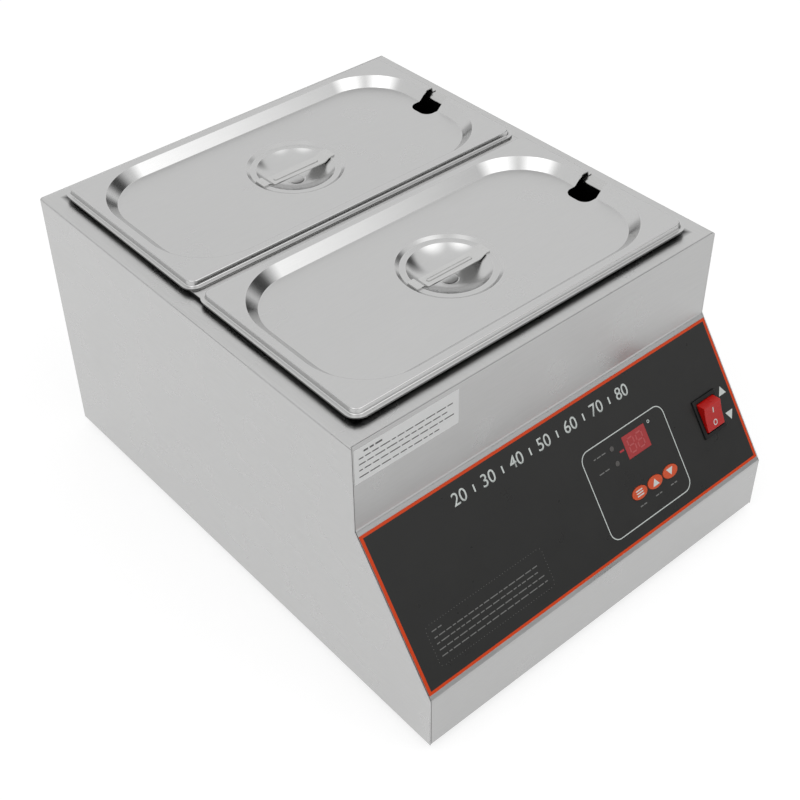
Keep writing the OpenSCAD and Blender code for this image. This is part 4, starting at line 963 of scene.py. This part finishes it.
def makeNote():
    # Dotted frame with rows of plain rules
    s = noteShape
    left, right, low, high = s["box"]
    width, height = right - left, high - low
    middleX, middleY = leftEdge + (left + right) / 2, (low + high) / 2
    bm = bmesh.new()

    def dot(x, y):
        disc(bm, s["dot"], 0, count=8, centre=(middleX + x, middleY + y))

    def steps(length):
        count = int((length - 2 * s["corner"]) / s["pitch"])
        return [(k - count / 2) * s["pitch"] for k in range(count + 1)]

    for side in (-1, 1):
        for x in steps(width):
            dot(x, side * height / 2)
        for y in steps(height):
            dot(side * width / 2, y)
        for other in (-1, 1):
            dot(side * (width / 2 - s["cornerDot"]), other * (height / 2 - s["cornerDot"]))
    for k, y in enumerate(s["rows"]):
        end = s["heading"] if k == 0 else width - s["margin"] - dice.random() * s["ragged"]
        ruledLine(bm, leftEdge + left + s["margin"], leftEdge + left + end, y, *s["rule"])
    finishPrint("noteFrame", bm, filmPlace, "grey_print")


displayShape = {
    "digit": (6.2 * mm, 11.5 * mm),
    "digitsAt": (-5 * mm, 4.2 * mm),
    "stroke": 1.15 * mm,
    "gap": 0.25 * mm,
    "dash": (228.9 * mm, 72.2 * mm, 4.4 * mm, 1.5 * mm),
    "degree": (262.2 * mm, 80.3 * mm, 2.6 * mm, 2.6 * mm, 1.28 * mm, 0.5 * mm),
    "lampRules": (201.5 * mm, 215 * mm),
    "lampRuleUps": (78.3 * mm, 66.1 * mm),
    "lampRule": (0.8 * mm, 2 * mm, 5 * mm, 1.1 * mm),
    "keyRuleReach": 4 * mm,
    "keyRuleUp": 26.9 * mm,
    "keyRule": (0.9 * mm, 2.5 * mm, 4 * mm, 1 * mm),
}


def makeDigits():
    # Two unlit digits of seven bars
    s = displayShape
    width, height = s["digit"]
    line = s["stroke"]
    bm = bmesh.new()
    for x in s["digitsAt"]:
        for y in (-height / 2, 0, height / 2):
            bar(bm, x, y, width - line - 2 * s["gap"], line)
        for side in (-1, 1):
            for y in (-height / 4, height / 4):
                bar(bm, x + side * width / 2, y, line, height / 2 - line - 2 * s["gap"])
    place = filmPlace @ Matrix.Translation((displayAt.x, displayAt.y, 0))
    finishPrint("displayDigits", bm, place, "lit_print")


def makeDisplayMarks():
    s = displayShape
    x, *rest = s["dash"]
    bm = bmesh.new()
    bar(bm, leftEdge + x, *rest)
    finishPrint("displayDash", bm, filmPlace, "red_print")
    x, *rest = s["degree"]
    bm = bmesh.new()
    frameLine(bm, leftEdge + x, *rest)
    finishPrint("degreeRing", bm, filmPlace, "white_print")
    left, right = s["lampRules"]
    bm = bmesh.new()
    for y in s["lampRuleUps"]:
        ruledLine(bm, leftEdge + left, leftEdge + right, y, *s["lampRule"])
    for at in keysAt.values():
        ruledLine(bm, at.x - s["keyRuleReach"], at.x + s["keyRuleReach"], s["keyRuleUp"], *s["keyRule"])
    finishPrint("smallRules", bm, filmPlace, "grey_print")


keyMarkShape = {
    "keyHeight": 0.6 * mm,
    "lift": 0.02 * mm,
    "bar": (7.2 * mm, 0.95 * mm),
    "barEnds": 0.4 * mm,
    "barSteps": (-2 * mm, 0, 2 * mm),
    "triangle": (7 * mm, 5.5 * mm),
}


def makeKeyMarks():
    s = keyMarkShape
    top = filmTop + s["keyHeight"] + s["lift"]
    for key, at in keysAt.items():
        bm = bmesh.new()
        if key == "set":
            for y in s["barSteps"]:
                bar(bm, 0, y, *s["bar"], radius=s["barEnds"])
        else:
            triangle(bm, 0, 0, *s["triangle"], upwards=key == "up")
        place = slopePlace @ Matrix.Translation((at.x, panelShape["keyUp"], top))
        finishPrint(key + "KeyMark", bm, place, "white_print", key + "_button", "key_orange")


switchMarkShape = {
    "arrow": (8.4 * mm, 7 * mm),
    "arrowX": 341.7 * mm,
    "arrowUps": (67.6 * mm, 46.2 * mm),
    "rockerRadius": 12.6 * mm,
    "tilt": math.radians(13),
    "pivotIn": 1 * mm,
    "crestShare": 0.83,     # shares of the rocker's radius
    "highShare": 0.545,
    "dishShare": 0.49,
    "markAt": 5.4 * mm,
    "lift": 0.02 * mm,
    "onMark": (1.1 * mm, 4.6 * mm),
    "offMark": (4.2 * mm, 5 * mm, 2.05 * mm, 0.75 * mm),
}


def makeSwitchMarks():
    s = switchMarkShape
    upper, lower = s["arrowUps"]
    bm = bmesh.new()
    triangle(bm, leftEdge + s["arrowX"], upper, *s["arrow"])
    triangle(bm, leftEdge + s["arrowX"], lower, *s["arrow"], upwards=False)
    finishPrint("switchArrows", bm, filmPlace, "white_print")
    # The rocker's two faces rise from the dish in its middle to its crests
    slant = math.atan2(s["highShare"] - s["dishShare"], s["crestShare"])
    height = s["dishShare"] * s["rockerRadius"] + s["markAt"] * math.tan(slant) + s["lift"]
    rocker = (slopePlace @ Matrix.Translation((switchX, panelShape["switchUp"], filmTop - s["pivotIn"]))
              @ Matrix.Rotation(s["tilt"], 4, "X"))
    for side, name in ((1, "onMark"), (-1, "offMark")):
        bm = bmesh.new()
        if side == 1:
            bar(bm, 0, 0, *s["onMark"])
        else:
            frameLine(bm, 0, 0, *s["offMark"])
        place = (rocker @ Matrix.Translation((0, side * s["markAt"], height))
                 @ Matrix.Rotation(side * slant, 4, "X"))
        finishPrint(name, bm, place, "white_print", "rocker", "rocker_red")


stickerShape = {
    "lift": 0.02 * mm,
    "rows": (               # each row's distance from the top, its start and its share of the width
        (4.2 * mm, 8 * mm, 0.26),
        (9.2 * mm, 4 * mm, 0.96),
        (14.2 * mm, 4 * mm, 0.91),
        (19.4 * mm, 4 * mm, 0.98),
        (25.2 * mm, 4 * mm, 0.84),
    ),
    "heading": 1.5 * mm,
    "row": 0.95 * mm,
    "dashes": (3 * mm, 9 * mm, 1.4 * mm),
}


def makeStickerRules():
    s = stickerShape
    low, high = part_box("note_sticker")
    place = Matrix.Translation((low.x, low.y - s["lift"], high.z)) @ Matrix.Rotation(math.pi / 2, 4, "X")
    bm = bmesh.new()
    for k, (down, start, share) in enumerate(s["rows"]):
        height = s["heading"] if k == 0 else s["row"]
        ruledLine(bm, start, (high.x - low.x) * share, -down, height, *s["dashes"])
    finishPrint("stickerRules", bm, place, "dark_print", slot="sticker_grey")


makeScale()
makeControlsFrame()
makeNote()
makeDigits()
makeDisplayMarks()
makeKeyMarks()
makeSwitchMarks()
makeStickerRules()
print("print made")


# Stage, light and camera

stageShape = {
    "worldLight": 0.67,
    "floorSize": 8,
    "floorDrop": 0.2 * mm,
    "floorColour": 0.42,
    "floorGlow": 0.69,
    "wallRadius": 5,
    "wallHeights": (0.1, 4.4),
    "lowFade": (0.45, 1.25),
    "lowDark": 0.05,
    "lowRear": 0.5,         # the wall behind the object is paler
    "rearShares": (0.6, 0.95),
    "patchAzimuth": 78,     # a dark patch at the right
    "patchSpread": (0.84, 0.97),
    "patchBottom": (1.3, 2.2),
    "patchTop": (3.3, 4.4),
    "patchDark": 0.05,
}


def seenDirectly(tree):
    path = addNode(tree, "ShaderNodeLightPath").outputs
    seen = addMath(tree, "MAXIMUM", path["Is Camera Ray"], path["Is Glossy Ray"])
    return addMath(tree, "MAXIMUM", seen, path["Is Transmission Ray"])


def makeWorld():
    # White where it is seen or mirrored, and dimmer as light
    world = bpy.data.worlds.new("studio")
    bpy.context.scene.world = world
    world.use_nodes = True
    tree = world.node_tree
    tree.nodes.clear()
    out = addNode(tree, "ShaderNodeOutputWorld")
    mix = addNode(tree, "ShaderNodeMixShader")
    tree.links.new(seenDirectly(tree), mix.inputs[0])
    for index, strength in ((1, stageShape["worldLight"]), (2, 1.0)):
        light = addNode(tree, "ShaderNodeBackground")
        light.inputs["Color"].default_value = (1, 1, 1, 1)
        light.inputs["Strength"].default_value = strength
        tree.links.new(light.outputs[0], mix.inputs[index])
    tree.links.new(mix.outputs[0], out.inputs[0])


def makeFloor():
    s = stageShape
    bm = bmesh.new()
    plate(bm, s["floorSize"], s["floorSize"], 0, -s["floorDrop"])
    material, tree, surface = bareMaterial("paleFloor")
    total = addNode(tree, "ShaderNodeAddShader")
    cloth = addNode(tree, "ShaderNodeBsdfDiffuse")
    cloth.inputs["Color"].default_value = (*[s["floorColour"]] * 3, 1)
    glow = addNode(tree, "ShaderNodeEmission")
    tree.links.new(addMath(tree, "MULTIPLY", seenDirectly(tree), s["floorGlow"]), glow.inputs["Strength"])
    tree.links.new(cloth.outputs[0], total.inputs[0])
    tree.links.new(glow.outputs[0], total.inputs[1])
    tree.links.new(total.outputs[0], surface)
    newObject("floor", bm, material)


def addWallTone(tree):
    # Dark at its foot, with one dark patch, and white elsewhere
    s = stageShape
    radius = s["wallRadius"]
    place = addNode(tree, "ShaderNodeTexCoord").outputs["Object"]
    at = addSplit(tree, place)
    rear = addRange(tree, at[1], *[share * radius for share in s["rearShares"]], s["lowDark"], s["lowRear"])
    level = addMath(tree, "MAXIMUM", addRange(tree, at[2], *s["lowFade"], 0.0, 1.0), rear)
    turn = math.radians(s["patchAzimuth"])
    aim = addNode(tree, "ShaderNodeVectorMath", operation="DOT_PRODUCT")
    aim.inputs[1].default_value = (math.sin(turn) / radius, -math.cos(turn) / radius, 0)
    tree.links.new(place, aim.inputs[0])
    inside = addRange(tree, aim.outputs["Value"], *s["patchSpread"], 0.0, 1.0)
    over = addRange(tree, at[2], *s["patchBottom"], 0.0, 1.0)
    under = addRange(tree, at[2], *s["patchTop"], 1 - s["patchDark"], 0.0)
    patch = addMath(tree, "MULTIPLY", inside, addMath(tree, "MULTIPLY", over, under))
    return addMath(tree, "MULTIPLY", level, addMath(tree, "SUBTRACT", 1.0, patch))


def makeRoomWall():
    # A ring round the object, which only the metal mirrors
    low, high = stageShape["wallHeights"]
    bm = bmesh.new()
    ring = bmesh.ops.create_circle(bm, cap_ends=False, radius=stageShape["wallRadius"], segments=64)["verts"]
    bmesh.ops.translate(bm, vec=(0, 0, low), verts=ring)
    pull(bm, bm.edges[:], (0, 0, high - low))
    material, tree, surface = bareMaterial("dimWall")
    glow = addNode(tree, "ShaderNodeEmission")
    tree.links.new(addWallTone(tree), glow.inputs["Strength"])
    tree.links.new(glow.outputs[0], surface)
    wall = newObject("roomWall", bm, material)
    wall.visible_camera = False
    wall.visible_diffuse = False
    wall.visible_shadow = False
    wall.visible_transmission = False


lampShape = {
    "size": 2.0,
    "distance": 2.2,
    "aimHeight": 0.12,
    "fade": (0.06, 0.5),    # shares of the box's width, from its middle
    "strength": 2.0,
}


def makeLamp(name, azimuth, elevation, power):
    # Azimuth 0 stands in front of the object, and 90 to its right
    s = lampShape
    data = bpy.data.lights.new(name, "AREA")
    data.shape = "RECTANGLE"
    data.size = data.size_y = s["size"]
    data.energy = power
    # The light is strongest in the middle of the soft box
    data.use_nodes = True
    tree = data.node_tree
    offset = addNode(tree, "ShaderNodeVectorMath", operation="DISTANCE")
    offset.inputs[1].default_value = (0.5, 0.5, 0)
    tree.links.new(addNode(tree, "ShaderNodeNewGeometry").outputs["Parametric"], offset.inputs[0])
    fade = addRange(tree, offset.outputs["Value"], *s["fade"], s["strength"], 0.0)
    tree.links.new(fade, tree.nodes["Emission"].inputs["Strength"])
    lamp = bpy.data.objects.new(name, data)
    a, e = math.radians(azimuth), math.radians(elevation)
    away = Vector((math.sin(a) * math.cos(e), -math.cos(a) * math.cos(e), math.sin(e)))
    lamp.location = Vector((0, 0, s["aimHeight"])) + away * s["distance"]
    lamp.rotation_mode = "QUATERNION"
    lamp.rotation_quaternion = away.to_track_quat("Z", "Y")
    bpy.context.scene.collection.objects.link(lamp)


cameraPlace = {
    "location": (-0.560987, -0.658940, 0.829006),
    "azimuth": 39.900,
    "elevation": 39.476,
    "roll": -1.233,
    "focalPixels": 1385.983,
    "pictureWidth": 800,
    "sensor": 36,
    "shift": (0.01875, -0.0575),
}


def makeCamera():
    c = cameraPlace
    data = bpy.data.cameras.new("camera")
    data.lens = c["focalPixels"] / c["pictureWidth"] * c["sensor"]
    data.sensor_width = c["sensor"]
    data.shift_x, data.shift_y = c["shift"]
    data.clip_start, data.clip_end = 0.02, 50
    thing = bpy.data.objects.new("camera", data)
    a, e, r = (math.radians(c[key]) for key in ("azimuth", "elevation", "roll"))
    forward = Vector((math.sin(a) * math.cos(e), math.cos(a) * math.cos(e), -math.sin(e)))
    side = Vector((math.cos(a), -math.sin(a), 0))
    over = side.cross(forward)
    right = side * math.cos(r) + over * math.sin(r)
    above = over * math.cos(r) - side * math.sin(r)
    turn = Matrix((right, above, -forward)).transposed().to_4x4()
    thing.matrix_world = Matrix.Translation(c["location"]) @ turn
    bpy.context.scene.collection.objects.link(thing)
    bpy.context.scene.camera = thing


makeWorld()
makeFloor()
makeRoomWall()
makeLamp("softBoxAbove", azimuth=-78, elevation=60, power=11.5)
makeLamp("softBoxRight", azimuth=20, elevation=57, power=10)
makeCamera()
bpy.context.scene.view_settings.view_transform = "Standard"
print("stage made")
